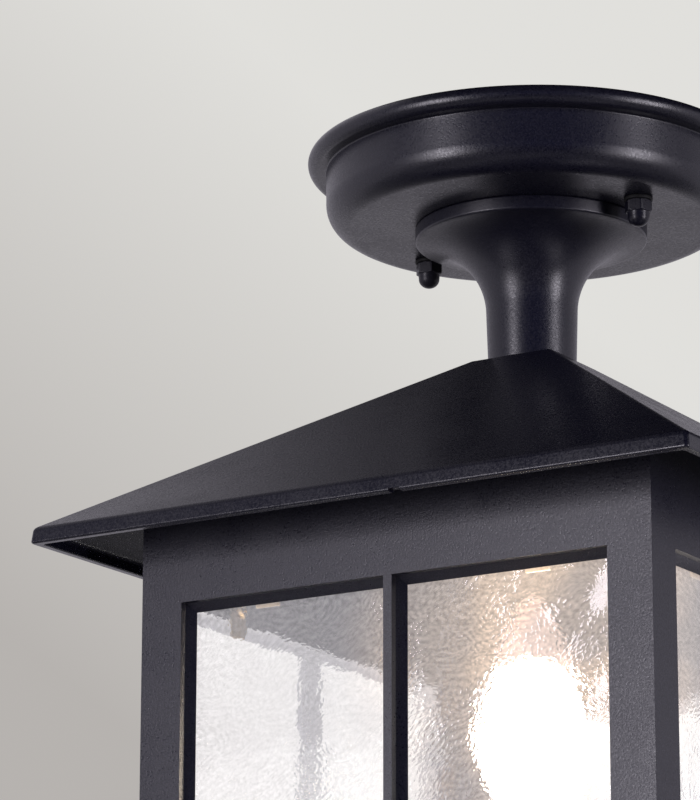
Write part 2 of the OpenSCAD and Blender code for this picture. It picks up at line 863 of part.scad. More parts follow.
module door_knuckle(z_mid) {
    half_len = hinge_len / 2 - knuckle_end - pass_gap;
    leaf_in = leaf_out + leaf_t;
    leaf_end = door_half - 0.2;
    difference() {
        union() {
            translate([hinge_x, hinge_y, z_mid - half_len])
                cylinder(r = knuckle_r, h = 2 * half_len);
            block_between([leaf_end, leaf_out, z_mid - half_len],
                          [hinge_x, leaf_in, z_mid + half_len]);
            block_between([door_half - strap_reach, leaf_out, z_mid - half_len],
                          [leaf_end, -body_half + sink, z_mid + half_len]);
        }
        translate([hinge_x, hinge_y, z_mid - half_len - cut])
            cylinder(r = pin_d / 2 + run_gap, h = 2 * half_len + 2 * cut);
    }
}

module door_frame() {
    color(coat_black) on_face(180) difference() {
        union() {
            difference() {
                block_between([-door_half, -body_half, door_bottom],
                              [door_half, -inner_half, door_top]);
                window_cut(body_half, door_light_half, door_light_bottom, door_light_top);
            }
            at_clips(door_clip_x, door_pane_top, door_pane_bottom) clip_boss();
            for (z_mid = hinge_z) door_knuckle(z_mid);
        }
        at_clips(door_clip_x, door_pane_top, door_pane_bottom) clip_hole();
        translate([catch_x, 0, catch_z]) rotate([90, 0, 0]) translate([0, 0, inner_half - cut])
            cylinder(r = spindle_r + run_gap, h = frame_t + 2 * cut);
    }
}

module door_glass() {
    on_face(180) pane(door_pane_half, door_pane_top, door_pane_bottom);
}

module door_glass_clips() {
    color(zinc) on_face(180) at_clips(door_clip_x, door_pane_top, door_pane_bottom) clip_plate();
}

module door_clip_screws() {
    color(zinc) on_face(180) at_clips(door_clip_x, door_pane_top, door_pane_bottom) clip_screw();
}

module hinge_pins() {
    head_r = 2.2;
    head_h = 1.2;
    color(zinc) on_face(180) for (z_mid = hinge_z) translate([hinge_x, hinge_y, z_mid]) {
        translate([0, 0, -hinge_len / 2 - 1]) cylinder(d = pin_d, h = hinge_len + 1);
        translate([0, 0, hinge_len / 2]) cylinder(r = head_r, h = head_h);
    }
}

// Knob, spindle and the riveted end that holds the cam
module catch_knob() {
    knob_r = 7;
    knob_h = 3;
    grip_w = 3.5;
    grip_h = 9;
    rivet_head_h = 1;
    out = body_half + pass_gap;
    color(coat_black) on_face(180) translate([catch_x, 0, catch_z]) rotate([90, 0, 0]) {
        translate([0, 0, cam_face - cam_t]) cylinder(r = spindle_r, h = out - cam_face + cam_t + 1);
        translate([0, 0, out]) cylinder(r = knob_r, h = knob_h);
        block_between([-grip_w / 2, -knob_r, out + knob_h], [grip_w / 2, knob_r, out + grip_h]);
        translate([0, 0, cam_face - cam_t - rivet_head_h]) cylinder(r = 2.8, h = rivet_head_h);
    }
}

// The cam points down when it is free; a quarter turn takes it behind the door stop
module catch_cam() {
    color(zinc) on_face(180) translate([catch_x, 0, catch_z]) rotate([90, 0, 0])
        translate([0, 0, cam_face - cam_t]) difference() {
            union() {
                cylinder(d = cam_w, h = cam_t);
                block_between([-cam_w / 2, -cam_l, 0], [cam_w / 2, 0, cam_t]);
            }
            translate([0, 0, -cut]) cylinder(r = spindle_r + fit_gap / 2, h = cam_t + 2 * cut);
        }
}

// ---------- wiring ----------

// The wiring lies along the diagonal to the back left corner: d is the distance along it,
// n the distance to its side, z the height
function diag(p) = [(-p[0] + p[1]) / sqrt(2), (p[0] + p[1]) / sqrt(2), p[2]];

function catmull(p, t) =
    0.5 * (2 * p[1] + (p[2] - p[0]) * t + (2 * p[0] - 5 * p[1] + 4 * p[2] - p[3]) * t * t
    + (3 * p[1] - p[0] - 3 * p[2] + p[3]) * t * t * t);

function smooth(points, steps) =
    let (n = len(points))
    concat([for (i = [0:n - 2], k = [0:steps - 1]) catmull([
        points[max(i - 1, 0)], points[i], points[i + 1], points[min(i + 2, n - 1)]
    ], k / steps)], [points[n - 1]]);

function unit(v) = v / norm(v);

// A round lead of radius r swept along a route of points
module lead(route, r, sides = 8) {
    side_way = [1, 1, 0] / sqrt(2);
    n = len(route);
    rings = [for (i = [0:n - 1]) let (
        along = unit(route[min(i + 1, n - 1)] - route[max(i - 1, 0)]),
        across = unit(cross(along, side_way)),
        over = cross(across, along)
    ) [for (k = [0:sides - 1]) route[i] + r * (cos(360 * k / sides) * over
        + sin(360 * k / sides) * across)]];
    points = [for (ring = rings) each ring];
    walls = [for (i = [0:n - 2], k = [0:sides - 1]) let (
        a = i * sides + k, b = i * sides + (k + 1) % sides
    ) each [[a, a + sides, b], [b, a + sides, b + sides]]];
    ends = [[for (k = [0:sides - 1]) k],
            [for (k = [sides - 1:-1:0]) (n - 1) * sides + k]];
    polyhedron(points, concat(walls, ends), convexity = 8);
}

block_face = block_at - block[0] / 2;
lead_z = z_floor + block[2] / 2;

// The earth tag's barrel, from its near end to its far end, measured from the screw
tag_t = 1;
tag_near = 4.6;
tag_far = 10;
tag_r = lead_r + 0.8;
tag_z = earth_boss_z - tag_r;

// From the block, over the rim of the tube, down through it and out along the roof to the
// corner, down the corner and under the bracket to the lampholder
function lamp_route(side) = [for (p = [
    [block_face + 3, side * pole_pitch, lead_z],
    [block_face - 1, side * pole_pitch, lead_z],
    [block_face - 5, side * pole_pitch, lead_z],
    [21, side * 5.2, lead_z + 2],
    [15, side * 3.4, tube_top + 2.5],
    [7, side * 1.9, tube_top + 5.2],
    [2.2, side * 1.4, tube_top + 3.4],
    [0.8, side * 1.4, tube_top - 2],
    [0.8, side * 1.4, z_boss - 10],
    [0.8, side * 1.4, tube_foot + 2],
    [0.8, side * 1.4, tube_foot - 3],
    [4, side * 1.6, tube_foot - 11],
    [16, side * 2, tube_foot - 18],
    [45, side * 2, body_top + 11],
    [corner_run - 34, side * 2, body_top + 3],
    [corner_run - 24, side * 1.8, body_top - 5],
    [corner_run - 14, side * 1.6, body_top - 12],
    [corner_run - 3, side * 1.4, body_top - 20],
    [corner_run, side * 1.4, body_top - 32],
    [corner_run, side * 1.4, body_top - 42],
    [corner_run, side * 1.4, z_plate + 50],
    [corner_run, side * 1.4, z_plate + 40],
    [corner_run - 2, side * 1.4, z_plate + 29],
    [corner_run - 8, side * 1.6, z_plate + 21.5],
    [corner_run - 20, side * 2, z_plate + 16],
    [60, side * 2, z_plate + 9],
    [24, side * 1.8, z_plate + 5],
    [7, side * 1.6, z_plate + 5],
    [1.2, side * 1.5, z_plate + 9.5],
    [0, side * 1.5, z_holder - bracket_t - nipple_out - 1],
    [0, side * 1.5, z_holder + nipple_in - 2]
]) diag(p)];

earth_route = [for (p = [
    [block_face + 3, 0, lead_z],
    [block_face - 1, 0, lead_z],
    [block_face - 5, 0, lead_z],
    [22, 0, lead_z + 3.5],
    [14, 0, tube_top + 6.8],
    [5, 0, tube_top + 8.8],
    [-0.6, 0, tube_top + 6],
    [-1.4, 0, tube_top - 1],
    [-1.4, 0, z_boss - 10],
    [-1.4, 0, tube_foot + 2],
    [-1.4, 0, tube_foot - 3],
    [-3.6, 0, tube_foot - 9],
    [-8.5, 0, tube_foot - 11.5],
    [-earth_at + 13, 0, tag_z - 1.5],
    [-earth_at + tag_far, 0, tag_z],
    [-earth_at + tag_near + 1, 0, tag_z]
]) diag(p)];

module live_lead() {
    color("#7a4a2a") lead(smooth(lamp_route(1), 2), lead_r);
}

module neutral_lead() {
    color("#3a64a8") lead(smooth(lamp_route(-1), 2), lead_r);
}

module earth_lead() {
    color("#6f9a3a") lead(smooth(earth_route, 3), lead_r);
}

// Screw in the roof's earth boss
module earth_screw() {
    low = earth_boss_z;
    color(brass_yellow) rotate([0, 0, -45]) translate([earth_at, 0, 0]) {
        translate([0, 0, low - tag_t - screw_head_h]) cylinder(r = 3.5, h = screw_head_h);
        translate([0, 0, low - tag_t]) cylinder(r = stud_r, h = earth_boss_l - 4 + tag_t);
    }
}

// Ring tag crimped on the earth lead
module earth_tag() {
    low = earth_boss_z;
    color(zinc) rotate([0, 0, -45]) translate([earth_at, 0, 0]) difference() {
        union() {
            translate([0, 0, low - tag_t]) cylinder(r = 4, h = tag_t);
            block_between([-tag_near - 1, -tag_r, low - tag_t], [0, tag_r, low]);
            translate([-tag_far, 0, tag_z]) rotate([0, 90, 0])
                cylinder(r = tag_r, h = tag_far - tag_near);
        }
        translate([0, 0, low - tag_t - cut]) cylinder(r = stud_r + fit_gap, h = tag_t + 2 * cut);
        translate([-tag_far - cut, 0, tag_z]) rotate([0, 90, 0])
            cylinder(r = lead_r + fit_gap, h = tag_far - tag_near + 2 * cut);
    }
}

module terminal_block() {
    color(porcelain) rotate([0, 0, 135]) difference() {
        block_between([block_at - block[0] / 2, -block[1] / 2, z_floor],
                      [block_at + block[0] / 2, block[1] / 2, z_floor + block[2]]);
        at_poles() cylinder(r = 1.7, h = block[2]);
        for (i = [-1:1]) translate([block_face - cut, i * pole_pitch, lead_z])
            rotate([0, 90, 0]) cylinder(r = lead_r + fit_gap, h = block[0] + 2 * cut);
    }
}

module at_poles() {
    for (i = [-1:1], side = [-1, 1])
        translate([block_at + side * 2.6, i * pole_pitch, z_floor + block[2] - 2.5]) children();
}

module terminal_screws() {
    color(brass_yellow) rotate([0, 0, 135]) at_poles() cylinder(r = 1.6, h = 2.3);
}

// Small saddles that hold the lamp leads in the back left corner
module wire_saddles() {
    saddle_h = 6;
    color(rubber_black) for (z_mid = [body_top - 52, z_plate + 64]) difference() {
        block_between([-inner_half, inner_half - saddle_w, z_mid - saddle_h / 2],
                      [-inner_half + saddle_w, inner_half, z_mid + saddle_h / 2]);
        for (side = [-1, 1]) {
            at = diag([corner_run, side * 1.4, z_mid - saddle_h / 2 - cut]);
            translate(at) cylinder(r = lead_r + fit_gap, h = saddle_h + 2 * cut);
        }
    }
}

rose();
ceiling_gasket();
ceiling_strap();
strap_studs();
stud_lock_nuts();
sealing_washers();
cap_nuts();
stem();
stem_seal();
threaded_tube();
upper_washer();
upper_lock_nut();
lower_washer();
lower_lock_nut();
tube_bush();
roof();
roof_screws();
body_frame();
glass_front();
glass_right();
glass_left();
glass_clips();
glass_clip_screws();
base_plate();
base_screws();
holder_bracket();
bracket_rivets();
holder_nipple();
holder_nut();
lampholder();
lampholder_sleeve();
centre_contact();
bulb_envelope();
bulb_cap();
bulb_filament();
door_frame();
door_glass();
door_glass_clips();
door_clip_screws();
hinge_pins();
catch_knob();
catch_cam();
terminal_block();
terminal_screws();
live_lead();
neutral_lead();
earth_lead();
earth_screw();
earth_tag();
wire_saddles();
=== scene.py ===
"""Porch ceiling lantern: the looks of every piece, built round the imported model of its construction.

Everything is in metres in the model's own frame: +Z up, the origin at the centre of the ceiling
face, the front at -Y and the door at +Y. A new piece takes its sizes from the box of the node that
it stands for, and from the named values in the property groups.
"""

import math

import bmesh
import bpy
import numpy as np
from bpy.props import FloatProperty, FloatVectorProperty, IntProperty, PointerProperty
from mathutils import Matrix, Vector


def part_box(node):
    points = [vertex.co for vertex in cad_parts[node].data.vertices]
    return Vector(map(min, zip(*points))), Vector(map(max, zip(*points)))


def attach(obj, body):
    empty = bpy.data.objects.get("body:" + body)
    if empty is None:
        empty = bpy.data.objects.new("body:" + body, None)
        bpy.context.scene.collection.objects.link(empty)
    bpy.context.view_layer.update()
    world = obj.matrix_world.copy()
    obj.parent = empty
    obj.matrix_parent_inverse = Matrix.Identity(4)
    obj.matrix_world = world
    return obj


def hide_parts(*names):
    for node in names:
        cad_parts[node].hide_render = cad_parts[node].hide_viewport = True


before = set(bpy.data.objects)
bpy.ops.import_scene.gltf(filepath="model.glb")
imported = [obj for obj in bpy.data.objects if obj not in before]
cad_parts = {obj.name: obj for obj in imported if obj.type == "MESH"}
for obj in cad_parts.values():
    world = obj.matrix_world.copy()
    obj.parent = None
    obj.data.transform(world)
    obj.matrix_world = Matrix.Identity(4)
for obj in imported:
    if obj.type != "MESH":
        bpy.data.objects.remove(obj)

bl_info = {
    "name": "Porch ceiling lantern",
    "version": (1, 0, 0),
    "blender": (4, 5, 0),
    "location": "View3D > Sidebar > Lantern",
    "description": "Builds the looks of a porch ceiling lantern round its packed model",
    "category": "Object",
}

MM = 0.001
TURN = 2 * math.pi
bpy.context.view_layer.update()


# ---------- places read from the frame, and sizes that several pieces share ----------

def low(node):
    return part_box(node)[0]


def high(node):
    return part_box(node)[1]


def span(node):
    """The heights of a node's foot and top."""
    return low(node).z, high(node).z


Z_ROSE = low("rose").z
Z_FLOOR = low("upper_washer").z
Z_BOSS = Z_ROSE - 4.4 * MM
Z_FLAT = low("stem").z
Z_EAVE = low("roof").z
Z_HOLDER_TOP = high("lampholder").z
Z_BULB = low("bulb_cap").z
Z_TIP = high("bulb_envelope").z
BODY_HALF = high("body_frame").x
INNER_HALF = -low("glass_front").y

DRUM_R = 64 * MM
NUT_CIRCLE = 45.3 * MM
STRAP_TURN = math.radians(-14.2)
TUBE_R, TUBE_BORE, TUBE_HOLE = 5 * MM, 3.6 * MM, 5.1 * MM
HEAD_R, HEAD_H, SMALL_HEAD_R = 4 * MM, 2.6 * MM, 2.7 * MM
CAP_PITCH = 2.8 * MM
CORNERS = [(sx, sy) for sx in (-1, 1) for sy in (-1, 1)]
# the radius of a row of points that is merged into a pole, and the degrees past which an edge is sharp
POLE, SHARP = 1e-7, 35

# the material of each finish, once made
FINISHES = {}


# ---------- surfaces worked out as whole arrays ----------

def unit(vectors):
    """Each vector divided by its length."""
    return vectors / np.maximum(np.linalg.norm(vectors, axis=-1, keepdims=True), 1e-12)


def angles(sides):
    """Even angles of one turn."""
    return np.linspace(0, TURN, sides, endpoint=False)


def around(radius, z, a):
    """Points about the upright axis at a radius, height and angle: x = r cos a, y = r sin a."""
    radius, z, a = np.broadcast_arrays(radius, z, a)
    return np.stack([radius * np.cos(a), radius * np.sin(a), z], -1)


def arc(x, z, radius, start, end, points):
    """A stretch of an outline that turns about (x, z) between two angles, in half turns."""
    a = np.linspace(start * math.pi, end * math.pi, points)
    return np.stack([x + radius * np.cos(a), z + radius * np.sin(a)], 1)


def ring_outline(inner, outer, z0, z1):
    return [[inner, z0], [outer, z0], [outer, z1], [inner, z1]]


def filleted(corners, radii, steps=5):
    """A closed outline whose corners are arcs of steps + 1 points: each arc's centre lies on the
    corner's bisector at radius / sin(half angle), and its points turn evenly from one tangent
    point to the other."""
    p = np.array(corners, float)
    r = np.broadcast_to(np.array(radii, float), len(p))
    u = unit(np.roll(p, 1, 0) - p)
    v = unit(np.roll(p, -1, 0) - p)
    half = np.arccos(np.clip((u * v).sum(1), -1, 1)) / 2
    centre = p + unit(u + v) * (r / np.sin(half))[:, None]
    first = p + u * (r / np.tan(half))[:, None] - centre
    last = p + v * (r / np.tan(half))[:, None] - centre
    sweep = (math.pi - 2 * half)[:, None, None]
    t = np.linspace(0, 1, steps + 1)[None, :, None]
    turn = np.sin((1 - t) * sweep) * first[:, None] + np.sin(t * sweep) * last[:, None]
    return (centre[:, None] + turn / np.sin(sweep)).reshape(-1, 2)


def turned(profile, sides=128, centre=(0, 0)):
    """A profile of (radius, height) points carried round an upright axis through the centre."""
    r, z = np.asarray(profile, float).T[:, :, None]
    return around(r, z, angles(sides)) + [*centre, 0]


def square_carried(profile, corner_radius, across):
    """A profile of (half width, height) points carried round a square with round corners: the
    corner's centre is at half width - radius, and its points turn a quarter round it. The front
    side has more points, at the distances across from its middle."""
    steps = 8
    half, z = np.asarray(profile, float).T
    radius = np.minimum(corner_radius, half)
    reach = half - radius
    a = np.linspace(0, math.pi / 2, steps + 1)[None] + np.arange(4)[:, None] * math.pi / 2
    sx = np.sign(np.cos(a.mean(1)))[:, None] + 0 * a
    sy = np.sign(np.sin(a.mean(1)))[:, None] + 0 * a
    sx, sy, a = sx.ravel(), sy.ravel(), a.ravel()
    x = reach[:, None] * sx + radius[:, None] * np.cos(a)
    y = reach[:, None] * sy + radius[:, None] * np.sin(a)
    start = 3 * (steps + 1)
    middle = np.clip(across[None], -reach[:, None], reach[:, None])
    x = np.concatenate([x[:, :start], middle, x[:, start:]], 1)
    y = np.concatenate([y[:, :start], -half[:, None] + 0 * middle, y[:, start:]], 1)
    return np.stack([x, y, z[:, None] + 0 * x], -1)


def nut_grid(flats, bore, z0, z1, sides=96):
    """A hexagon nut. A point of its outside lies at the lesser of two distances: the hexagon's,
    which is half its flats over the cosine of the angle from the nearest side's middle, and that
    of a cone that falls in at the ends. Its bore goes back through the middle."""
    a = angles(sides)
    sixth, half, edge = math.pi / 3, flats / 2, 0.25 * MM
    chamfer = math.tan(math.radians(30))
    hexagon = half / np.cos(a % sixth - sixth / 2)
    rise = (half / math.cos(sixth / 2) - half) * chamfer
    z = np.concatenate([[z0, z0], np.linspace(z0, z0 + rise, 5)[1:], np.linspace(z1 - rise, z1, 5), [z1]])
    face_share = 0.985
    cone = face_share * half + np.minimum(z - z0, z1 - z) / chamfer
    r = np.minimum(hexagon, cone[:, None])
    r[0] = r[-1] = bore + edge
    z = np.concatenate([z, [z1 - edge, z0 + edge]])
    r = np.concatenate([r, np.full((2, sides), bore)])
    return around(r, z[:, None], a)


def thread_wave(z, a, pitch):
    """How deep a thread lies, from 0 at its crest to 1: a rounded saw of
    (height / pitch - angle / turn)."""
    return 0.5 - 0.5 * np.cos(TURN * (z[:, None] / pitch - a / TURN))


def thread_fade(z, pitch):
    """0 at a thread's two ends, and 1 from one pitch inside them."""
    return np.clip(np.minimum(z - z[0], z[-1] - z) / pitch, 0, 1)[:, None]


def thread_grid(outer, depth, pitch, z0, z1, bore=0.0, sides=32):
    """A threaded rod or tube: the outside's radius falls by depth along the thread's wave, which
    fades at both ends, and a bore goes back through it."""
    a = angles(sides)
    rows_a_turn = 8
    z = np.linspace(z0, z1, max(int((z1 - z0) / pitch * rows_a_turn), 4))
    fade = thread_fade(z, pitch)
    r = outer - depth * (thread_wave(z, a, pitch) * fade + (1 - fade))
    inner = np.full((1, sides), max(bore, POLE))
    return around(np.concatenate([inner, r, inner]), np.concatenate([[z0], z, [z1]])[:, None], a)


def screw_grid(head_r, head_h, shank_r, length, cross=True, sides=40):
    """A pan-head screw, head up, its seat at height 0: the head is a low dome whose middle drops
    where a point lies within the arms of a cross, or within one slot; then skirt, seat, shank."""
    a = angles(sides)
    share = np.concatenate([[1e-4], np.linspace(0.06, 0.78, 13), [0.86, 0.93, 0.98, 1.0]])[:, None]
    x, y = np.abs(share * np.cos(a)), np.abs(share * np.sin(a))
    off, half_slot = np.minimum(x, y) if cross else y, 0.13
    reach = 0.62 if cross else 2.0
    dome, drop = head_h * (1 - 0.42 * share ** 3), 0.5 * head_h
    z = dome - drop * np.clip((half_slot - off) / 0.05, 0, 1) * np.clip((reach - share) / 0.08, 0, 1)
    tail_r = np.array([head_r, 0.97 * head_r, shank_r, shank_r, 0.6 * shank_r, 1e-4 * head_r])
    tail_z = np.array([0.05 * head_h, 0, 0, 0.5 * shank_r - length, -length, -length])
    r = np.concatenate([share[:, 0] * head_r, tail_r])[:, None]
    return around(r, np.concatenate([z, tail_z[:, None] + 0 * a]), a)


def bezier(p, t):
    """A cubic curve: each of its four control points weighted by its Bernstein share."""
    return ((1 - t) ** 3 * p[0] + 3 * (1 - t) ** 2 * t * p[1]
            + 3 * (1 - t) * t ** 2 * p[2] + t ** 3 * p[3])


def placed(grid, matrix):
    """The grid's points carried to their place by a matrix."""
    m = np.array(matrix)
    return grid @ m[:3, :3].T + m[:3, 3]


def at(x=0.0, y=0.0, z=0.0, turn=0.0):
    return Matrix.Translation((x, y, z)) @ Matrix.Rotation(turn, 4, "Z")


# ---------- pieces ----------

def grid_faces(rows, columns, wrap_rows, wrap_columns, first):
    """Quads between neighbouring points of a grid. A wrapped way joins its last line to its first."""
    r, c = np.meshgrid(np.arange(rows - (not wrap_rows)), np.arange(columns - (not wrap_columns)),
                       indexing="ij")
    r2, c2 = (r + 1) % rows, (c + 1) % columns
    corners = [r * columns + c, r * columns + c2, r2 * columns + c2, r2 * columns + c]
    return first + np.stack(corners, -1).reshape(-1, 4)


def mesh_of(name, grids):
    """A mesh of grids whose columns close on themselves, each with whether its rows do too."""
    points, faces, first = [], [], 0
    for grid, ring in grids:
        rows, columns = grid.shape[:2]
        faces.append(grid_faces(rows, columns, ring, True, first))
        points.append(grid.reshape(-1, 3))
        first += rows * columns
    points, faces = np.concatenate(points), np.concatenate(faces)
    mesh = bpy.data.meshes.new(name)
    mesh.vertices.add(len(points))
    mesh.vertices.foreach_set("co", points.ravel())
    mesh.loops.add(faces.size)
    mesh.loops.foreach_set("vertex_index", faces.ravel().astype(np.int32))
    mesh.polygons.add(len(faces))
    mesh.polygons.foreach_set("loop_start", np.arange(0, faces.size, 4, dtype=np.int32))
    mesh.update(calc_edges=True)
    return mesh


def tidy_mesh(mesh, weld=1e-6):
    """Merges doubles, so that seams and poles close, and turns the faces outwards."""
    work = bmesh.new()
    work.from_mesh(mesh)
    bmesh.ops.remove_doubles(work, verts=work.verts, dist=weld)
    bmesh.ops.dissolve_degenerate(work, edges=work.edges, dist=weld / 10)
    bmesh.ops.recalc_face_normals(work, faces=work.faces)
    work.to_mesh(mesh)
    work.free()


def seated(name, mesh, finish, node, body, sharp=SHARP):
    """Makes the object of a finished mesh: smooth but for edges sharper than an angle, painted,
    and riding on its body in place of the node it stands for."""
    mesh.shade_smooth()
    mesh.set_sharp_from_angle(angle=math.radians(sharp))
    mesh.materials.clear()
    mesh.materials.append(FINISHES[finish])
    piece = bpy.data.objects.new(name, mesh)
    bpy.context.scene.collection.objects.link(piece)
    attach(piece, body)
    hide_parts(node)
    return piece


def new_piece(name, grids, finish, node, body="lantern", sharp=SHARP):
    """A piece made of grids, whose flat faces keep their flat shading."""
    mesh = mesh_of(name, grids)
    tidy_mesh(mesh)
    piece = seated(name, mesh, finish, node, body, sharp)
    piece.modifiers.new("flat_faces_stay_flat", "WEIGHTED_NORMAL").keep_sharp = True


def node_mesh(name, node):
    """A copy of a node's mesh, under the new piece's name."""
    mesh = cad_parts[node].data.copy()
    mesh.name = name
    return mesh


def rounded_copy(name, node, finish, width, body="lantern", segments=2):
    """A copy of a node's mesh with its doubles merged and its flat faces joined, whose sharp edges
    a Bevel modifier rounds."""
    mesh = node_mesh(name, node)
    work = bmesh.new()
    work.from_mesh(mesh)
    bmesh.ops.remove_doubles(work, verts=work.verts, dist=2e-6)
    bmesh.ops.dissolve_limit(work, angle_limit=math.radians(0.6), verts=work.verts, edges=work.edges)
    work.to_mesh(mesh)
    work.free()
    bevel = seated(name, mesh, finish, node, body).modifiers.new("cast_edges", "BEVEL")
    bevel.width, bevel.segments = width, segments
    bevel.limit_method, bevel.angle_limit = "ANGLE", math.radians(SHARP)
    bevel.use_clamp_overlap = bevel.harden_normals = True


# ---------- shader parts ----------

class Wiring:
    """Adds nodes to a tree. An input is named or numbered, and is given a value or a socket."""

    def __init__(self, tree):
        self.tree = tree

    def fill(self, node, inputs):
        for label, value in inputs.items():
            if isinstance(value, bpy.types.NodeSocket):
                self.tree.links.new(value, node.inputs[label])
            else:
                node.inputs[label].default_value = value

    def add(self, kind, inputs, **settings):
        """A new node's outputs, once its settings and its inputs are filled."""
        node = self.tree.nodes.new(kind)
        for name, value in settings.items():
            setattr(node, name, value)
        self.fill(node, inputs)
        return node.outputs

    def math(self, operation, a, b, clamp=False):
        return self.add("ShaderNodeMath", {0: a, 1: b}, operation=operation, use_clamp=clamp)[0]

    def plus(self, a, b, clamp=False):
        return self.math("ADD", a, b, clamp)

    def minus(self, a, b):
        return self.math("SUBTRACT", a, b)

    def times(self, a, b):
        return self.math("MULTIPLY", a, b)

    def vector(self, operation, inputs):
        return self.add("ShaderNodeVectorMath", inputs, operation=operation)

    def split(self, vector):
        """The three numbers of a vector or colour."""
        return self.add("ShaderNodeSeparateXYZ", {0: vector})

    def mix(self, share, a, b):
        return self.add("ShaderNodeMix", {0: share, 6: a, 7: b}, data_type="RGBA")[2]

    def noise(self, vector, scale, detail=2.0, rough=0.5, output="Fac"):
        inputs = {"Vector": vector, "Scale": scale, "Detail": detail, "Roughness": rough}
        return self.add("ShaderNodeTexNoise", inputs)[output]

    def ramp(self, value, low_end, high_end, low_out=0.0, high_out=1.0, smooth=True):
        inputs = dict(enumerate((value, low_end, high_end, low_out, high_out)))
        kind = "SMOOTHSTEP" if smooth else "LINEAR"
        return self.add("ShaderNodeMapRange", inputs, interpolation_type=kind)[0]

    def bump(self, height, distance):
        return self.add("ShaderNodeBump", {"Height": height, "Distance": distance})["Normal"]

    def background(self, colour, strength):
        return self.add("ShaderNodeBackground", {"Color": colour, "Strength": strength})[0]

    def mix_shader(self, share, a, b):
        return self.add("ShaderNodeMixShader", {0: share, 1: a, 2: b})[0]


SURFACE = (("Color", "Color"), ("Height", "Float"), ("Roughness", "Float"))


def group_tree(name, inputs, outputs=SURFACE):
    """A new shader node group with named inputs (name, kind, default) and outputs (name, kind):
    its wiring, what it is given, the node that puts its outputs out, and the place on the piece."""
    tree = bpy.data.node_groups.new(name, "ShaderNodeTree")
    for label, kind, default in inputs:
        socket = tree.interface.new_socket(name=label, in_out="INPUT", socket_type="NodeSocket" + kind)
        socket.default_value = default
    for label, kind in outputs:
        tree.interface.new_socket(name=label, in_out="OUTPUT", socket_type="NodeSocket" + kind)
    w = Wiring(tree)
    given = w.add("NodeGroupInput", {})
    out = tree.nodes.new("NodeGroupOutput")
    return w, given, out, w.add("ShaderNodeTexCoord", {})["Object"]


def coat_group():
    """Powder coat: an orange peel that shines unevenly, a finer and paler grain on it, patches of
    slightly other tone, and a thin bloom of dust in a few large places."""
    w, given, out, place = group_tree(
        "powder_coat",
        [("Tone", "Color", (0.03, 0.03, 0.04, 1)), ("Peel Size", "Float", 900.0),
         ("Grain", "Float", 0.5), ("Dust", "Float", 0.2), ("Smooth", "Float", 0.0)])
    patch_tone, grain_tone = (0.011, 0.0105, 0.016, 1), (0.046, 0.045, 0.064, 1)
    dust_tone = (0.16, 0.15, 0.15, 1)
    peel = w.noise(place, given["Peel Size"], 2.0, 0.55)
    grain = w.noise(place, w.times(given["Peel Size"], 1.7), 1.0)
    patch = w.noise(place, 45.0, 3.0, 0.6)
    dust = w.times(w.ramp(w.noise(place, 14.0, 4.0, 0.65), 0.52, 0.74), given["Dust"])
    speck = w.times(w.ramp(grain, 0.4, 0.7, 0.0, 0.6), given["Grain"])
    tone = w.mix(w.ramp(patch, 0.3, 0.7, 0.0, 0.3), given["Tone"], patch_tone)
    tone = w.mix(speck, tone, grain_tone)
    rough = w.plus(w.ramp(peel, 0.2, 0.8, -0.12, 0.12, smooth=False), w.ramp(patch, 0.3, 0.7, 0.37, 0.42))
    rough = w.minus(rough, given["Smooth"])
    w.fill(out, {"Color": w.mix(dust, tone, dust_tone),
                 "Height": w.plus(peel, w.times(grain, given["Grain"])),
                 "Roughness": w.plus(rough, w.times(dust, 0.3), clamp=True)})
    return w.tree


def metal_group():
    """Bare plated metal: fine drawn lines one way, cloudy tone and a few darker spots."""
    w, given, out, place = group_tree(
        "plated_metal",
        [("Bright", "Color", (0.62, 0.63, 0.64, 1)), ("Dull", "Color", (0.4, 0.4, 0.4, 1)),
         ("Lines", "Vector", (400.0, 400.0, 6000.0))])
    lines = w.noise(w.vector("MULTIPLY", {0: place, 1: given["Lines"]})[0], 1.0, 2.0, 0.6)
    cloud = w.noise(place, 160.0, 3.0, 0.6)
    spot = w.ramp(w.noise(place, 700.0), 0.62, 0.74)
    share = w.plus(w.ramp(cloud, 0.3, 0.7, 0.0, 0.7), w.times(spot, 0.4), clamp=True)
    w.fill(out, {"Color": w.mix(share, given["Bright"], given["Dull"]), "Height": lines,
                 "Roughness": w.plus(w.ramp(cloud, 0.3, 0.7, 0.24, 0.4), w.times(lines, 0.08))})
    return w.tree


def plain_group():
    """Moulded or glazed stuff: a little unevenness of tone, height and gloss."""
    w, given, out, place = group_tree(
        "moulded_stuff",
        [("Tone", "Color", (0.5, 0.5, 0.5, 1)), ("Shade", "Color", (0.4, 0.4, 0.4, 1)),
         ("Size", "Float", 600.0), ("Gloss", "Float", 0.4)])
    fine = w.noise(place, given["Size"], 3.0, 0.55)
    wide = w.noise(place, w.times(given["Size"], 0.12), 3.0, 0.6)
    share = w.plus(w.times(fine, 0.35), w.times(wide, 0.5), clamp=True)
    w.fill(out, {"Color": w.mix(share, given["Tone"], given["Shade"]), "Height": fine,
                 "Roughness": w.plus(given["Gloss"], w.ramp(wide, 0.3, 0.7, -0.05, 0.08), clamp=True)})
    return w.tree


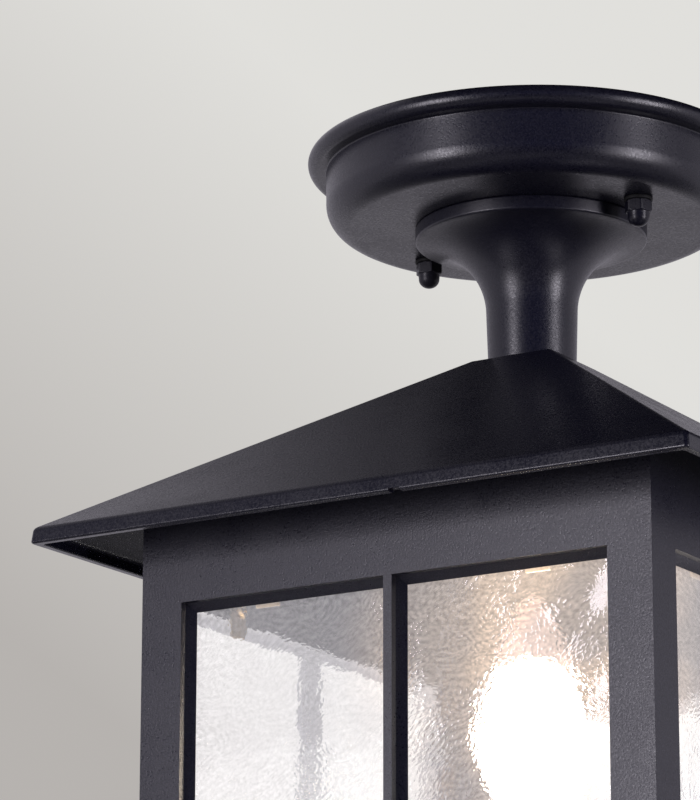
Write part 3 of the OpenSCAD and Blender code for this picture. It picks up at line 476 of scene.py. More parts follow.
def glass_group():
    """Water glass: short dimples on broad waves. The dimples lie nearly level in some patches and
    slope in others, and are deep in some and calm in others. The glass glows with painted light
    that stands in for the lamp's light caught in it: a painted glow, warmer round the lamp's spot,
    with painted glints along the dimples."""
    # Glow and Heart are colours of painted light, which the panes emit
    w, given, out, place = group_tree(
        "water_glass",
        [("Ripple Size", "Float", 620.0), ("Patch Size", "Float", 42.0), ("Calm", "Float", 0.3),
         ("Glow", "Color", (0.3, 0.28, 0.27, 1)), ("Heart", "Color", (0.5, 0.36, 0.25, 1)),
         ("Lamp Spot", "Vector", (0.048, -0.085, -0.2)), ("Reach", "Float", 0.075)],
        [("Height", "Float"), ("Glow", "Color")])
    bend, stretch, level_turn, steep_turn = 8 * MM, 0.68, -0.15, 0.6
    x, y, z = w.split(place)
    bend_x, bend_y, bend_z = w.split(w.noise(place, 60.0, 1.0, output="Color"))
    u = w.plus(w.plus(x, y), w.times(bend_x, bend))
    v = w.plus(z, w.times(bend_y, bend))

    def dashes(angle):
        """Noise stretched to dashes that lie at an angle to the level."""
        c, s = math.cos(angle), math.sin(angle)
        across = w.plus(w.times(u, c), w.times(v, s))
        up = w.minus(w.times(v, c), w.times(u, s))
        flat = w.add("ShaderNodeCombineXYZ", {"X": w.times(across, stretch), "Y": up})[0]
        return w.noise(flat, given["Ripple Size"], 1.0, 0.4)

    turn = w.ramp(bend_z, 0.44, 0.56)
    dash = w.plus(w.times(dashes(level_turn), w.minus(1.0, turn)), w.times(dashes(steep_turn), turn))
    strength = w.ramp(w.noise(place, given["Patch Size"]), 0.46, 0.64, given["Calm"], 1.0)
    wide = w.noise(place, 42.0, 1.0, 0.4)
    # painted light: a warm painted pool of glow round the lamp's spot, fading out at the reach
    away = w.vector("DISTANCE", {0: place, 1: given["Lamp Spot"]})["Value"]
    near = w.ramp(w.math("DIVIDE", away, given["Reach"]), 0.25, 1.0, 1.0, 0.0)
    warm = w.times(near, w.ramp(w.noise(place, 38.0, 1.0), 0.38, 0.6, 0.45, 1.0))
    glow = w.mix(warm, given["Glow"], given["Heart"])
    # painted glints: the painted glow grows brighter and darker along the dimples
    speck = w.ramp(w.times(w.minus(dash, 0.5), w.plus(strength, 0.2)), -0.14, 0.14, 0.72, 1.32)
    w.fill(out, {"Height": w.plus(w.times(dash, strength), w.times(wide, 8.0)),
                 "Glow": w.vector("SCALE", {0: glow, "Scale": speck})[0]})
    return w.tree


def bulb_group():
    """The lit bulb: white from its foot to about the sticks' ends, and a warm tint in the tip."""
    w, given, out, place = group_tree(
        "lit_bulb",
        [("White", "Color", (1.0, 0.84, 0.66, 1)), ("Tip", "Color", (0.019, 0.0125, 0.0105, 1)),
         ("Turn Low", "Float", -0.18), ("Turn High", "Float", -0.16)],
        [("Color", "Color")])
    wave = w.ramp(w.noise(place, 120.0), 0.3, 0.7, -3 * MM, 3 * MM)
    share = w.ramp(w.plus(w.split(place)["Z"], wave), given["Turn Low"], given["Turn High"])
    w.fill(out, {"Color": w.mix(share, given["White"], given["Tip"])})
    return w.tree


def new_material(name, colour=(0.5, 0.5, 0.5, 1)):
    material = bpy.data.materials.new(name)
    material.use_nodes = True
    material.diffuse_color = colour
    shader = next(n for n in material.node_tree.nodes if n.type == "BSDF_PRINCIPLED")
    return material, Wiring(material.node_tree), shader


def grouped_material(name, group, values, bump, metallic=0.0, specular=0.5, coat=0.0):
    """A Principled material whose colour, roughness and bump come from one of the groups."""
    material, w, shader = new_material(name)
    part = w.add("ShaderNodeGroup", values, node_tree=group)
    w.fill(shader, {"Base Color": part["Color"], "Roughness": part["Roughness"], "Metallic": metallic,
                    "Specular IOR Level": specular, "Coat Weight": coat,
                    "Normal": w.bump(part["Height"], bump)})
    return material


def glass_material(look):
    material, w, shader = new_material("water_glass", (0.8, 0.82, 0.8, 0.5))
    # the panes emit painted glow, with a warm painted spot on the front pane's right half, nearest the lamp
    part = w.add("ShaderNodeGroup", {
        "Ripple Size": 1 / look.ripple_size, "Glow": (*look.pane_glow, 1), "Heart": (*look.pane_glow_heart, 1),
        "Lamp Spot": (46 * MM, -BODY_HALF, Z_TIP - 32 * MM), "Reach": 72 * MM}, node_tree=glass_group())
    w.fill(shader, {"Base Color": (0.9, 0.905, 0.9, 1), "Roughness": 0.03, "IOR": 1.5,
                    "Transmission Weight": 1.0, "Emission Color": part["Glow"],
                    "Emission Strength": 1.0, "Normal": w.bump(part["Height"], look.ripple_height)})
    return material


def bulb_material(look):
    material, w, shader = new_material("lit_bulb_glass", (1, 0.95, 0.85, 1))
    turn = {"Turn Low": Z_TIP - 26 * MM, "Turn High": Z_TIP - 22 * MM}
    part = w.add("ShaderNodeGroup", turn, node_tree=bulb_group())
    w.fill(shader, {"Base Color": (0.3, 0.26, 0.23, 1), "Roughness": 0.25,
                    "Emission Color": part["Color"], "Emission Strength": look.bulb_strength})
    return material


def make_finishes(look):
    """Builds every finish once, from the look's values."""
    coat, metal, plain = coat_group(), metal_group(), plain_group()
    coat_tone, nut_tone = tuple(look.coat_tone), (0.004, 0.004, 0.009)
    for key, name, tone, peel, grain, dust, smooth, bump, specular in (
            ("coat", "black_coat_of_the_body", coat_tone, 1, 0.6, look.dust, 0.05, 0.52, 0.5),
            ("rose_coat", "black_coat_of_the_rose", coat_tone, 1, 0.4, look.dust, 0.07, 0.4, 0.5),
            ("stem_coat", "black_coat_of_the_stem", coat_tone, 1, 0.35, 0.2 * look.dust, 0.03, 0.33, 0.5),
            ("roof_coat", "black_coat_of_the_roof", coat_tone, 1, 0.35, 0.2 * look.dust, 0.13, 0.3, 0.5),
            ("nut_coat", "coated_nut", nut_tone, 1.6, 0.3, 0.1, 0.03, 0.3, 0.3)):
        values = {"Tone": (*tone, 1), "Peel Size": peel / look.peel_size, "Grain": grain, "Dust": dust,
                  "Smooth": smooth}
        FINISHES[key] = grouped_material(name, coat, values, bump * look.peel_height, specular=specular)

    for key, name, bright, dull, bump in (
            ("zinc", "zinc_plate", (0.60, 0.61, 0.62), (0.36, 0.37, 0.38), 4e-6),
            ("clip", "yellow_zinc_clips", (0.34, 0.24, 0.12), (0.20, 0.14, 0.07), 4e-6),
            ("brass", "drawn_brass", (0.72, 0.52, 0.22), (0.42, 0.28, 0.11), 4e-6),
            ("cap", "nickel_cap", (0.72, 0.70, 0.65), (0.5, 0.48, 0.44), 3e-6)):
        values = {"Bright": (*bright, 1), "Dull": (*dull, 1)}
        FINISHES[key] = grouped_material(name, metal, values, bump, metallic=1.0)

    for key, name, tone, shade, size, gloss, bump, shine in (
            ("porcelain", "glazed_porcelain", (0.88, 0.86, 0.80), (0.76, 0.73, 0.66), 420, 0.12, 6e-6,
             {"coat": 0.4}),
            ("terminal", "terminal_nylon", (0.82, 0.81, 0.76), (0.70, 0.69, 0.63), 700, 0.42, 1e-5, {}),
            ("rubber", "black_rubber", (0.004, 0.004, 0.005), (0.009, 0.0085, 0.0085), 1500, 0.62, 2e-5,
             {"specular": 0.25}),
            ("brown", "brown_insulation", (0.06, 0.034, 0.022), (0.042, 0.025, 0.017), 900, 0.4, 8e-6, {}),
            ("blue", "blue_insulation", (0.034, 0.046, 0.085), (0.025, 0.035, 0.066), 900, 0.4, 8e-6, {}),
            ("green", "green_insulation", (0.07, 0.16, 0.04), (0.05, 0.12, 0.03), 900, 0.4, 8e-6, {}),
            ("stick", "filament_stick", (0.95, 0.78, 0.42), (0.9, 0.66, 0.3), 900, 0.4, 1e-5, {})):
        values = {"Tone": (*tone, 1), "Shade": (*shade, 1), "Size": size, "Gloss": gloss}
        FINISHES[key] = grouped_material(name, plain, values, bump, **shine)

    FINISHES["glass"] = glass_material(look)
    FINISHES["bulb"] = bulb_material(look)


# ---------- property groups ----------

def millimetres(name, default, least, most, description, precision=5):
    """A length that a user would change, its values given in millimetres."""
    return FloatProperty(name=name, description=description, default=default * MM, min=least * MM,
                         max=most * MM, unit="LENGTH", precision=precision)


def colour_of(name, default, description, most=1):
    """A colour that a user would change."""
    return FloatVectorProperty(name=name, description=description, subtype="COLOR", size=3, min=0,
                               max=most, default=default)


class LookSettings(bpy.types.PropertyGroup):
    """Colours and textures of the finishes."""

    coat_tone: colour_of("Coat tone", (0.003, 0.003, 0.0095), "Colour of the powder coat")
    peel_size: millimetres("Peel size", 0.66, 0.2, 5, "Width of one bump of the orange peel")
    peel_height: millimetres("Peel height", 0.08, 0, 0.5, "Height of the orange peel", 6)
    dust: FloatProperty(name="Dust", description="How much pale dust lies on the coat", default=0.02,
                        min=0, max=1, subtype="FACTOR")
    ripple_size: millimetres("Ripple size", 1.05, 0.3, 8, "Width of one ripple of the glass")
    ripple_height: millimetres("Ripple height", 0.08, 0, 1, "Height of the glass's ripples", 6)
    # painted glow that the panes emit, standing in for the lamp's light in the glass, and its warmer
    # painted heart nearest the lamp
    pane_glow: colour_of("Pane glow", (0.133, 0.128, 0.133), "Lamp light caught in the glass", 2)
    pane_glow_heart: colour_of("Pane heart", (0.355, 0.28, 0.225), "That light nearest the lamp", 2)
    bulb_strength: FloatProperty(name="Bulb strength", description="Radiance of the lit bulb",
                                 default=12.0, min=0, max=100)


class CastingSizes(bpy.types.PropertyGroup):
    """Edges and walls of the castings."""

    edge_round: millimetres("Edge round", 0.7, 0.05, 1, "Radius of a casting's sharp edges")
    rim_overhang: millimetres("Rim overhang", 5.75, 3, 8, "How far the rim bead stands out")
    rim_bead: millimetres("Rim bead", 6, 4, 8, "Height of the rim bead")
    rose_edge: millimetres("Rose edge", 8, 2, 9, "Radius of the drum's lower edge")
    rose_wall: millimetres("Rose wall", 1.6, 1, 3, "Wall of the rose")
    flare: millimetres("Flare", 23, 15, 30, "Radius of the trumpet's hollow curve")
    eave_round: millimetres("Eave round", 2.0, 0.3, 2.4, "Radius of the eave's upper edge")
    hip_round: millimetres("Hip round", 1.3, 0.5, 5, "Radius of the roof's corners at the eave")


class GlassSizes(bpy.types.PropertyGroup):
    """The glass's waves and the mesh that carries them."""

    wave_height: millimetres("Wave height", 0.04, 0, 0.5, "Height of the pane's broad waves", 6)
    wave_step: millimetres("Wave step", 0.95, 0.8, 5, "Distance between the pane's mesh points")
    seed: IntProperty(name="Seed", description="Which waves the panes have", default=7, min=0)


class StageSettings(bpy.types.PropertyGroup):
    """Light, backdrop and floor."""

    camera_place: FloatVectorProperty(name="Camera place", description="Where the camera stands",
                                      subtype="TRANSLATION", size=3,
                                      default=(0.58819, -1.03820, -0.40002))
    camera_lens: FloatProperty(name="Lens", description="Focal length of the camera", default=179.87,
                               min=20, max=400, unit="CAMERA")
    left_back: colour_of("Backdrop left", (0.47, 0.448, 0.43), "Backdrop colour low at the left")
    right_back: colour_of("Backdrop right", (0.752, 0.744, 0.718), "Backdrop colour high at the right")
    box_power: FloatProperty(name="Softbox power", description="Power of each of the two softboxes",
                             default=60.0, min=0, max=500, unit="POWER")
    ambient: FloatProperty(name="Ambient", description="Strength of the light from all round",
                           default=0.13, min=0, max=2)
    gloss_back: colour_of("Gloss backdrop", (0.585, 0.555, 0.625), "What gloss sees behind the lantern")
    front_gloss: colour_of("Front gloss", (0.05, 0.06, 0.15), "What gloss sees behind the camera")
    high_gloss: FloatProperty(name="High gloss", description="What gloss sees high up, as a share",
                              default=1.25, min=0, max=8)


class LanternSettings(bpy.types.PropertyGroup):
    """All the lantern's settings."""

    look: PointerProperty(type=LookSettings, name="Look", description="Colours and textures")
    casting: PointerProperty(type=CastingSizes, name="Castings", description="Edges and walls")
    glass: PointerProperty(type=GlassSizes, name="Glass", description="Waves of the glass")
    stage: PointerProperty(type=StageSettings, name="Stage", description="Light and backdrop")


def lantern():
    return bpy.context.scene.lantern


# ---------- operators ----------

class LANTERN_OT_finishes(bpy.types.Operator):
    """Builds the materials of every piece"""

    bl_idname = "lantern.finishes"
    bl_label = "Make the finishes"

    def execute(self, context):
        make_finishes(lantern().look)
        return {"FINISHED"}


class LANTERN_OT_rose(bpy.types.Operator):
    """Turns the ceiling rose with its rim bead, its hollow inside and its gasket's ledge"""

    bl_idname = "lantern.rose"
    bl_label = "Make the rose"

    def execute(self, context):
        size = lantern().casting
        bead, r_out, lip = size.rim_bead / 2, size.rose_edge, 0.2 * MM
        r_in, inner = r_out - size.rose_wall, DRUM_R - size.rose_wall
        gasket_z, gasket_r = low("ceiling_gasket").z, high("ceiling_gasket").x + 0.1 * MM
        rim = arc(DRUM_R + size.rim_overhang - bead, -bead, bead, 0.5, -0.5, 17)
        down = np.array([[0.5, 0], [0.15, -0.12], [0, -0.5]]) * MM + [DRUM_R, -2 * bead]
        edge = arc(DRUM_R - r_out, Z_ROSE + r_out, r_out, 0, -0.5, 13)
        bore = [[TUBE_HOLE + lip, Z_ROSE], [TUBE_HOLE, Z_ROSE + lip], [TUBE_HOLE, Z_FLOOR - lip],
                [TUBE_HOLE + lip, Z_FLOOR]]
        inside = arc(inner - r_in, Z_FLOOR + r_in, r_in, -0.5, 0, 13)
        ledge = [[inner, gasket_z - lip], [inner + lip, gasket_z], [gasket_r - 0.05 * MM, gasket_z],
                 [gasket_r, gasket_z + 0.05 * MM], [gasket_r, -0.1 * MM], [gasket_r + 0.1 * MM, 0]]
        profile = np.concatenate([rim, down, edge, bore, inside, ledge])
        new_piece("rose_casting", [(turned(profile, 224), True)], "rose_coat", "rose", sharp=50)
        return {"FINISHED"}


class LANTERN_OT_stem(bpy.types.Operator):
    """Turns the boss and trumpet stem with its bores and its seal's groove"""

    bl_idname = "lantern.stem"
    bl_label = "Make the stem"

    def execute(self, context):
        boss_r, flare = high("stem").x, lantern().casting.flare
        stem_r, foot_r, seal_out, seal_in, bore = 14.2 * MM, 13.7 * MM, 12.3 * MM, 10.3 * MM, 9.5 * MM
        z_seal, z_bore = Z_FLAT + 1 * MM, Z_FLAT + 34.9 * MM
        steps = 5
        # the last corner only gives the way that the flare goes on, so its arc is left out
        top = filleted([[TUBE_HOLE, Z_ROSE], [boss_r, Z_ROSE], [boss_r, Z_BOSS - 0.02 * MM],
                        [boss_r - 3 * MM, Z_BOSS]],
                       np.array([0.3, 0.5, 0.7, 0.0001]) * MM, steps)[:-(steps + 1)]
        curve = arc(stem_r + flare, Z_BOSS - flare, flare, 0.5, 1, 36)
        curve = curve[curve[:, 0] < boss_r - 0.6 * MM]
        # only the arc of the middle corner, which is the foot's edge
        foot = filleted([[foot_r, Z_FLAT + 3 * MM], [foot_r, Z_FLAT], [seal_out, Z_FLAT]],
                        0.35 * MM, steps)[steps + 1:2 * (steps + 1)]
        hollow = [[seal_out, Z_FLAT], [seal_out, z_seal], [seal_in, z_seal], [seal_in, Z_FLAT],
                  [bore, Z_FLAT], [bore, z_bore], [TUBE_HOLE, z_bore]]
        profile = np.concatenate([top, curve, foot, hollow])
        new_piece("stem_casting", [(turned(profile, 192), True)], "stem_coat", "stem", sharp=40)
        return {"FINISHED"}


class LANTERN_OT_roof(bpy.types.Operator):
    """Carries the roof's profile round a square, hollow under its slopes, with the weep notch"""

    bl_idname = "lantern.roof"
    bl_label = "Make the roof"

    def execute(self, context):
        size = lantern().casting
        half, flat = high("roof").x, 14.05 * MM
        lean, thick, flat_t = 0.5 * MM, 2.4 * MM, 2.5 * MM
        edge_in, z_top = half - 3 * MM, Z_EAVE + 4.4 * MM
        slope = (Z_FLAT - z_top) / (half - flat)
        flat_in = half - (Z_FLAT - flat_t + thick - z_top) / slope

        def slope_height(x):
            return z_top + (half - x) * slope

        corners = [[TUBE_HOLE, Z_FLAT], [flat, Z_FLAT], [half - lean, slope_height(half - lean)],
                   [half, Z_EAVE], [edge_in, Z_EAVE], [edge_in, slope_height(edge_in) - thick],
                   [flat_in, Z_FLAT - flat_t], [TUBE_HOLE, Z_FLAT - flat_t]]
        rounds = np.array([0.15, 0.8, size.eave_round / MM, 0.7, 0.5, 2.4, 0.8, 0.15]) * MM
        profile = filleted(corners, rounds, 6)
        hip = np.interp(profile[:, 0], [TUBE_HOLE, flat, half], [TUBE_HOLE, 1.0 * MM, size.hip_round])
        notch_x, notch_half, notch_z = 17 * MM, 1.75 * MM, Z_EAVE + 0.8 * MM
        notch = notch_x + np.array([-2.1, -1.8, -1.75, 0, 1.75, 1.8, 2.1]) * MM
        shell = square_carried(profile, hip, notch)
        x, y, z = np.moveaxis(shell, -1, 0)
        in_notch = (np.abs(x - notch_x) < notch_half + 0.03 * MM) & (y < 1 * MM - edge_in)
        shell[..., 2] = np.where(in_notch & (z < notch_z), notch_z, z)
        grids = [(shell, True)]

        lug, earth = high("roof_screws").x - HEAD_R, 27 * MM * math.sqrt(0.5)
        bore, edge = 2.05 * MM, 0.4 * MM
        bosses = [(sx * lug, sy * lug, 5 * MM, high("body_frame").z) for sx, sy in CORNERS]
        for x, y, r, z in bosses + [(earth, -earth, 4 * MM, high("earth_tag").z)]:
            boss = turned([[bore, z], [r - edge, z], [r, z + edge], [r, z + 1 * MM], [bore, z + 1 * MM]],
                          48, (x, y))
            reach = np.abs(boss[3:, :, :2]).max(-1)
            boss[3:, :, 2] = slope_height(reach) - thick / 2
            grids.append((boss, True))
        new_piece("roof_casting", grids, "roof_coat", "roof", sharp=40)
        return {"FINISHED"}


class LANTERN_OT_body(bpy.types.Operator):
    """Rounds the cast edges of the body, its door and its base"""

    bl_idname = "lantern.body"
    bl_label = "Make the body and door"

    def execute(self, context):
        edge = lantern().casting.edge_round
        rounded_copy("body_casting", "body_frame", "coat", edge)
        rounded_copy("door_casting", "door_frame", "coat", edge, "door")
        rounded_copy("base_tray", "base_plate", "coat", 0.35 * MM)
        rounded_copy("catch_grip", "catch_knob", "coat", 0.5 * MM, "catch", 3)
        return {"FINISHED"}


def wave_field(u, v, height, seed):
    """Broad waves of poured glass: a sum of sines of many ways and lengths, each with its own
    start, and its height in step with its length. The sum is raised three times, because the
    sines mostly cancel one another."""
    draw = np.random.default_rng(seed)
    count = 36
    length = draw.uniform(4 * MM, 16 * MM, count)
    way = draw.uniform(0, math.pi, count)
    start = draw.uniform(0, TURN, count)
    phase = (u[..., None] * np.cos(way) + v[..., None] * np.sin(way)) * TURN / length + start
    share = length / length.sum()
    return 3 * height * (np.sin(phase) * share).sum(-1)


def pane_mesh(name, half, bottom, top, depth, turn, size, seed):
    """A pane turned to its side: its outer face is a grid that the waves move in and out, a little
    inside the plane of the pane's face and calm towards its edge, and its back is one flat face
    whose edge is joined to the grid's."""
    columns, rows = int(2 * half / size.wave_step), int((top - bottom) / size.wave_step)
    x, z = np.meshgrid(np.linspace(-half, half, columns), np.linspace(bottom, top, rows))
    edge = np.minimum(np.minimum(half - np.abs(x), top - z), z - bottom)
    calm = np.clip(edge / (1.5 * MM), 0, 1)
    y = -INNER_HALF + 0.35 * MM + wave_field(x, z, size.wave_height, seed) * calm
    front = np.stack([x, y, z], -1).reshape(-1, 3)
    index = np.arange(rows * columns).reshape(rows, columns)
    loop = np.concatenate([index[0, :-1], index[:-1, -1], index[-1, :0:-1], index[:0:-1, 0]])
    back = front[loop].copy()
    back[:, 1] = -INNER_HALF + depth
    back_loop = np.arange(len(loop)) + len(front)
    sides = np.stack([loop, np.roll(loop, -1), np.roll(back_loop, -1), back_loop], 1)
    points = np.concatenate([front, back]) @ np.array(Matrix.Rotation(turn, 3, "Z")).T
    quads = np.concatenate([grid_faces(rows, columns, False, False, 0), sides])
    mesh = bpy.data.meshes.new(name)
    mesh.from_pydata(points.tolist(), [], quads.tolist() + [back_loop.tolist()])
    tidy_mesh(mesh)
    return mesh


class LANTERN_OT_panes(bpy.types.Operator):
    """Makes the four panes of water glass, waved on their outer face"""

    bl_idname = "lantern.panes"
    bl_label = "Make the panes"

    def execute(self, context):
        size, gap = lantern().glass, 0.02 * MM
        depth = high("glass_front").y - low("glass_front").y - gap
        places = (("pane_front", "glass_front", 0, "lantern"), ("pane_right", "glass_right", 90, "lantern"),
                  ("pane_left", "glass_left", 270, "lantern"), ("pane_door", "door_glass", 180, "door"))
        for i, (name, node, turn, body) in enumerate(places):
            lo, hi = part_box(node)
            wide = hi - lo
            half = (wide.x if turn in (0, 180) else wide.y) / 2
            mesh = pane_mesh(name, half - gap, lo.z + gap, hi.z - gap, depth, math.radians(turn), size,
                             size.seed + i)
            seated(name, mesh, "glass", node, body).visible_shadow = False
        return {"FINISHED"}


class LANTERN_OT_fixings(bpy.types.Operator):
    """Makes nuts, washers, studs, the hollow tube, screws and clips"""

    bl_idname = "lantern.fixings"
    bl_label = "Make the fixings"

    def execute(self, context):
        self.hangers()
        self.tube_parts()
        self.pan_screws()
        self.clip_screws()
        self.terminal_screws()
        self.pressings()
        return {"FINISHED"}

    def hangers(self):
        """The cap nuts, rubber washers, studs and lock nuts at the strap's two ends."""
        places = [at(NUT_CIRCLE * math.cos(a), NUT_CIRCLE * math.sin(a), 0, a)
                  for a in (STRAP_TURN, STRAP_TURN + math.pi)]
        tip, z_nut = span("cap_nuts")
        dome, dome_h, hex_h, bore = 3.3 * MM, 2.9 * MM, 3.6 * MM, 2.1 * MM
        z_hex = z_nut - hex_h
        hexed = placed(nut_grid(7.5 * MM, bore, z_hex, z_nut), at(turn=math.pi / 6))
        cap = arc(0, 0, 1, 0.5, 0, 15) * [dome, -dome_h] + [0, tip + dome_h]
        neck = np.array([[0.1, -0.2], [0.25, 0], [0.25, 0.4]]) * MM + [dome, z_hex]
        cap = turned(np.concatenate([cap, neck, [[POLE, z_hex + 0.4 * MM]]]), 64)
        grids = []
        for place, twist in zip(places, (-0.10, -0.05)):
            grids += [(placed(hexed, place @ at(turn=twist)), True), (placed(cap, place), False)]
        new_piece("cap_nuts_domed", grids, "nut_coat", "cap_nuts")

        washer = filleted(ring_outline(bore, 4.4 * MM, *span("sealing_washers")),
                          np.array([0.2, 0.45, 0.3, 0.1]) * MM)
        new_piece("rubber_washers", [(placed(turned(washer, 64), p), True) for p in places], "rubber",
                  "sealing_washers")
        z0, z1 = span("strap_studs")
        stud = thread_grid(2 * MM, 0.35 * MM, 0.7 * MM, z0 + 0.02 * MM, z1 - 0.02 * MM, sides=28)
        new_piece("threaded_studs", [(placed(stud, p), False) for p in places], "zinc", "strap_studs",
                  sharp=60)
        nut = nut_grid(7 * MM, 2.05 * MM, *span("stud_lock_nuts"))
        new_piece("stud_nuts", [(placed(nut, p), True) for p in places], "zinc", "stud_lock_nuts")

    def tube_parts(self):
        """The hollow tube and the holder's nipple, with their nuts and washers."""
        self.hollow_thread("hollow_tube", "threaded_tube")
        for node in ("upper_lock_nut", "lower_lock_nut", "holder_nut"):
            nut = nut_grid(14 * MM, TUBE_R + 0.05 * MM, *span(node))
            new_piece(node + "_hex", [(nut, True)], "zinc", node)
        for node in ("upper_washer", "lower_washer"):
            washer = filleted(ring_outline(TUBE_HOLE, 10.5 * MM, *span(node)), 0.2 * MM, 4)
            new_piece(node + "_ring", [(turned(washer, 96), True)], "zinc", node)
        self.hollow_thread("nipple_thread", "holder_nipple")

    def hollow_thread(self, name, node):
        grid = thread_grid(TUBE_R, 0.5 * MM, 1 * MM, *span(node), bore=TUBE_BORE, sides=40)
        new_piece(name, [(grid, True)], "zinc", node, sharp=60)

    def pan_screws(self):
        """The screws of the base and the roof, heads down, each turned a little otherwise."""
        screw = screw_grid(HEAD_R, HEAD_H, 2 * MM, 11.5 * MM)
        down = Matrix.Rotation(math.pi, 4, "X")
        for name, node, z, start, by_x, by_y in (
                ("base_pan_screws", "base_screws", low("body_frame").z, 0.4, 1, 2),
                ("roof_pan_screws", "roof_screws", low("roof_screws").z + HEAD_H, 0, 0.9, 1)):
            reach = high(node).x - HEAD_R
            grids = [(placed(screw, at(sx * reach, sy * reach, z, start + by_x * sx + by_y * sy) @ down),
                      False) for sx, sy in CORNERS]
            new_piece(name, grids, "zinc", node)

    def clip_screws(self):
        """One screw at each clip of the panes, head towards the inside."""
        screw = screw_grid(SMALL_HEAD_R, 1.8 * MM, 1.25 * MM, 6 * MM, sides=28)
        pane_t, clip_t = 3 * MM, 1 * MM
        seat = INNER_HALF - pane_t - clip_t
        lying = Matrix.Rotation(-math.pi / 2, 4, "X")
        door_reach = high("door_clip_screws").x - SMALL_HEAD_R
        for name, node, turns, reach, body in (
                ("clip_pan_screws", "glass_clip_screws", (0, 90, 270), 45.6 * MM, "lantern"),
                ("door_clip_pan_screws", "door_clip_screws", (180,), door_reach, "door")):
            z0, z1 = span(node)
            grids = []
            for turn in turns:
                for sx in (-1, 1):
                    for z in (z0 + SMALL_HEAD_R, z1 - SMALL_HEAD_R):
                        face = Matrix.Rotation(math.radians(turn), 4, "Z") @ at(sx * reach, -seat, z)
                        twist = at(turn=0.3 + 2 * sx + 40 * z)
                        grids.append((placed(screw, face @ lying @ twist), False))
            new_piece(name, grids, "clip", node, body)

    def terminal_screws(self):
        """The slotted screws in the terminal block, at the rose's far left."""
        head_h, block_r, pitch, half_row = 1.0, 38, 7, 2.6
        screw = screw_grid(1.6 * MM, head_h * MM, 1.5 * MM, 1.3 * MM, cross=False, sides=28)
        top = high("terminal_screws").z - head_h * MM
        block = Matrix.Rotation(math.radians(135), 4, "Z")
        grids = [(placed(screw, block @ at((block_r + half_row * side) * MM, pitch * i * MM, top,
                                           0.5 + i + side)), False) for i in (-1, 0, 1) for side in (-1, 1)]
        new_piece("terminal_slotted", grids, "brass", "terminal_screws")

    def pressings(self):
        """The strap, bracket, rivets, tag, clips, pins, cam and earth screw, with their edges rounded."""
        for name, node, finish, edge, body in (
                ("ceiling_strap_pressed", "ceiling_strap", "zinc", 0.4, "lantern"),
                ("holder_bracket_pressed", "holder_bracket", "zinc", 0.35, "lantern"),
                ("bracket_rivets_pressed", "bracket_rivets", "zinc", 0.35, "lantern"),
                ("earth_tag_pressed", "earth_tag", "zinc", 0.15, "lantern"),
                ("clips_pressed", "glass_clips", "clip", 0.25, "lantern"),
                ("door_clips_pressed", "door_glass_clips", "clip", 0.25, "door"),
                ("hinge_pins_turned", "hinge_pins", "zinc", 0.3, "lantern"),
                ("cam_plate", "catch_cam", "zinc", 0.3, "catch"),
                ("earth_screw_turned", "earth_screw", "brass", 0.3, "lantern")):
            rounded_copy(name, node, finish, edge * MM, body)


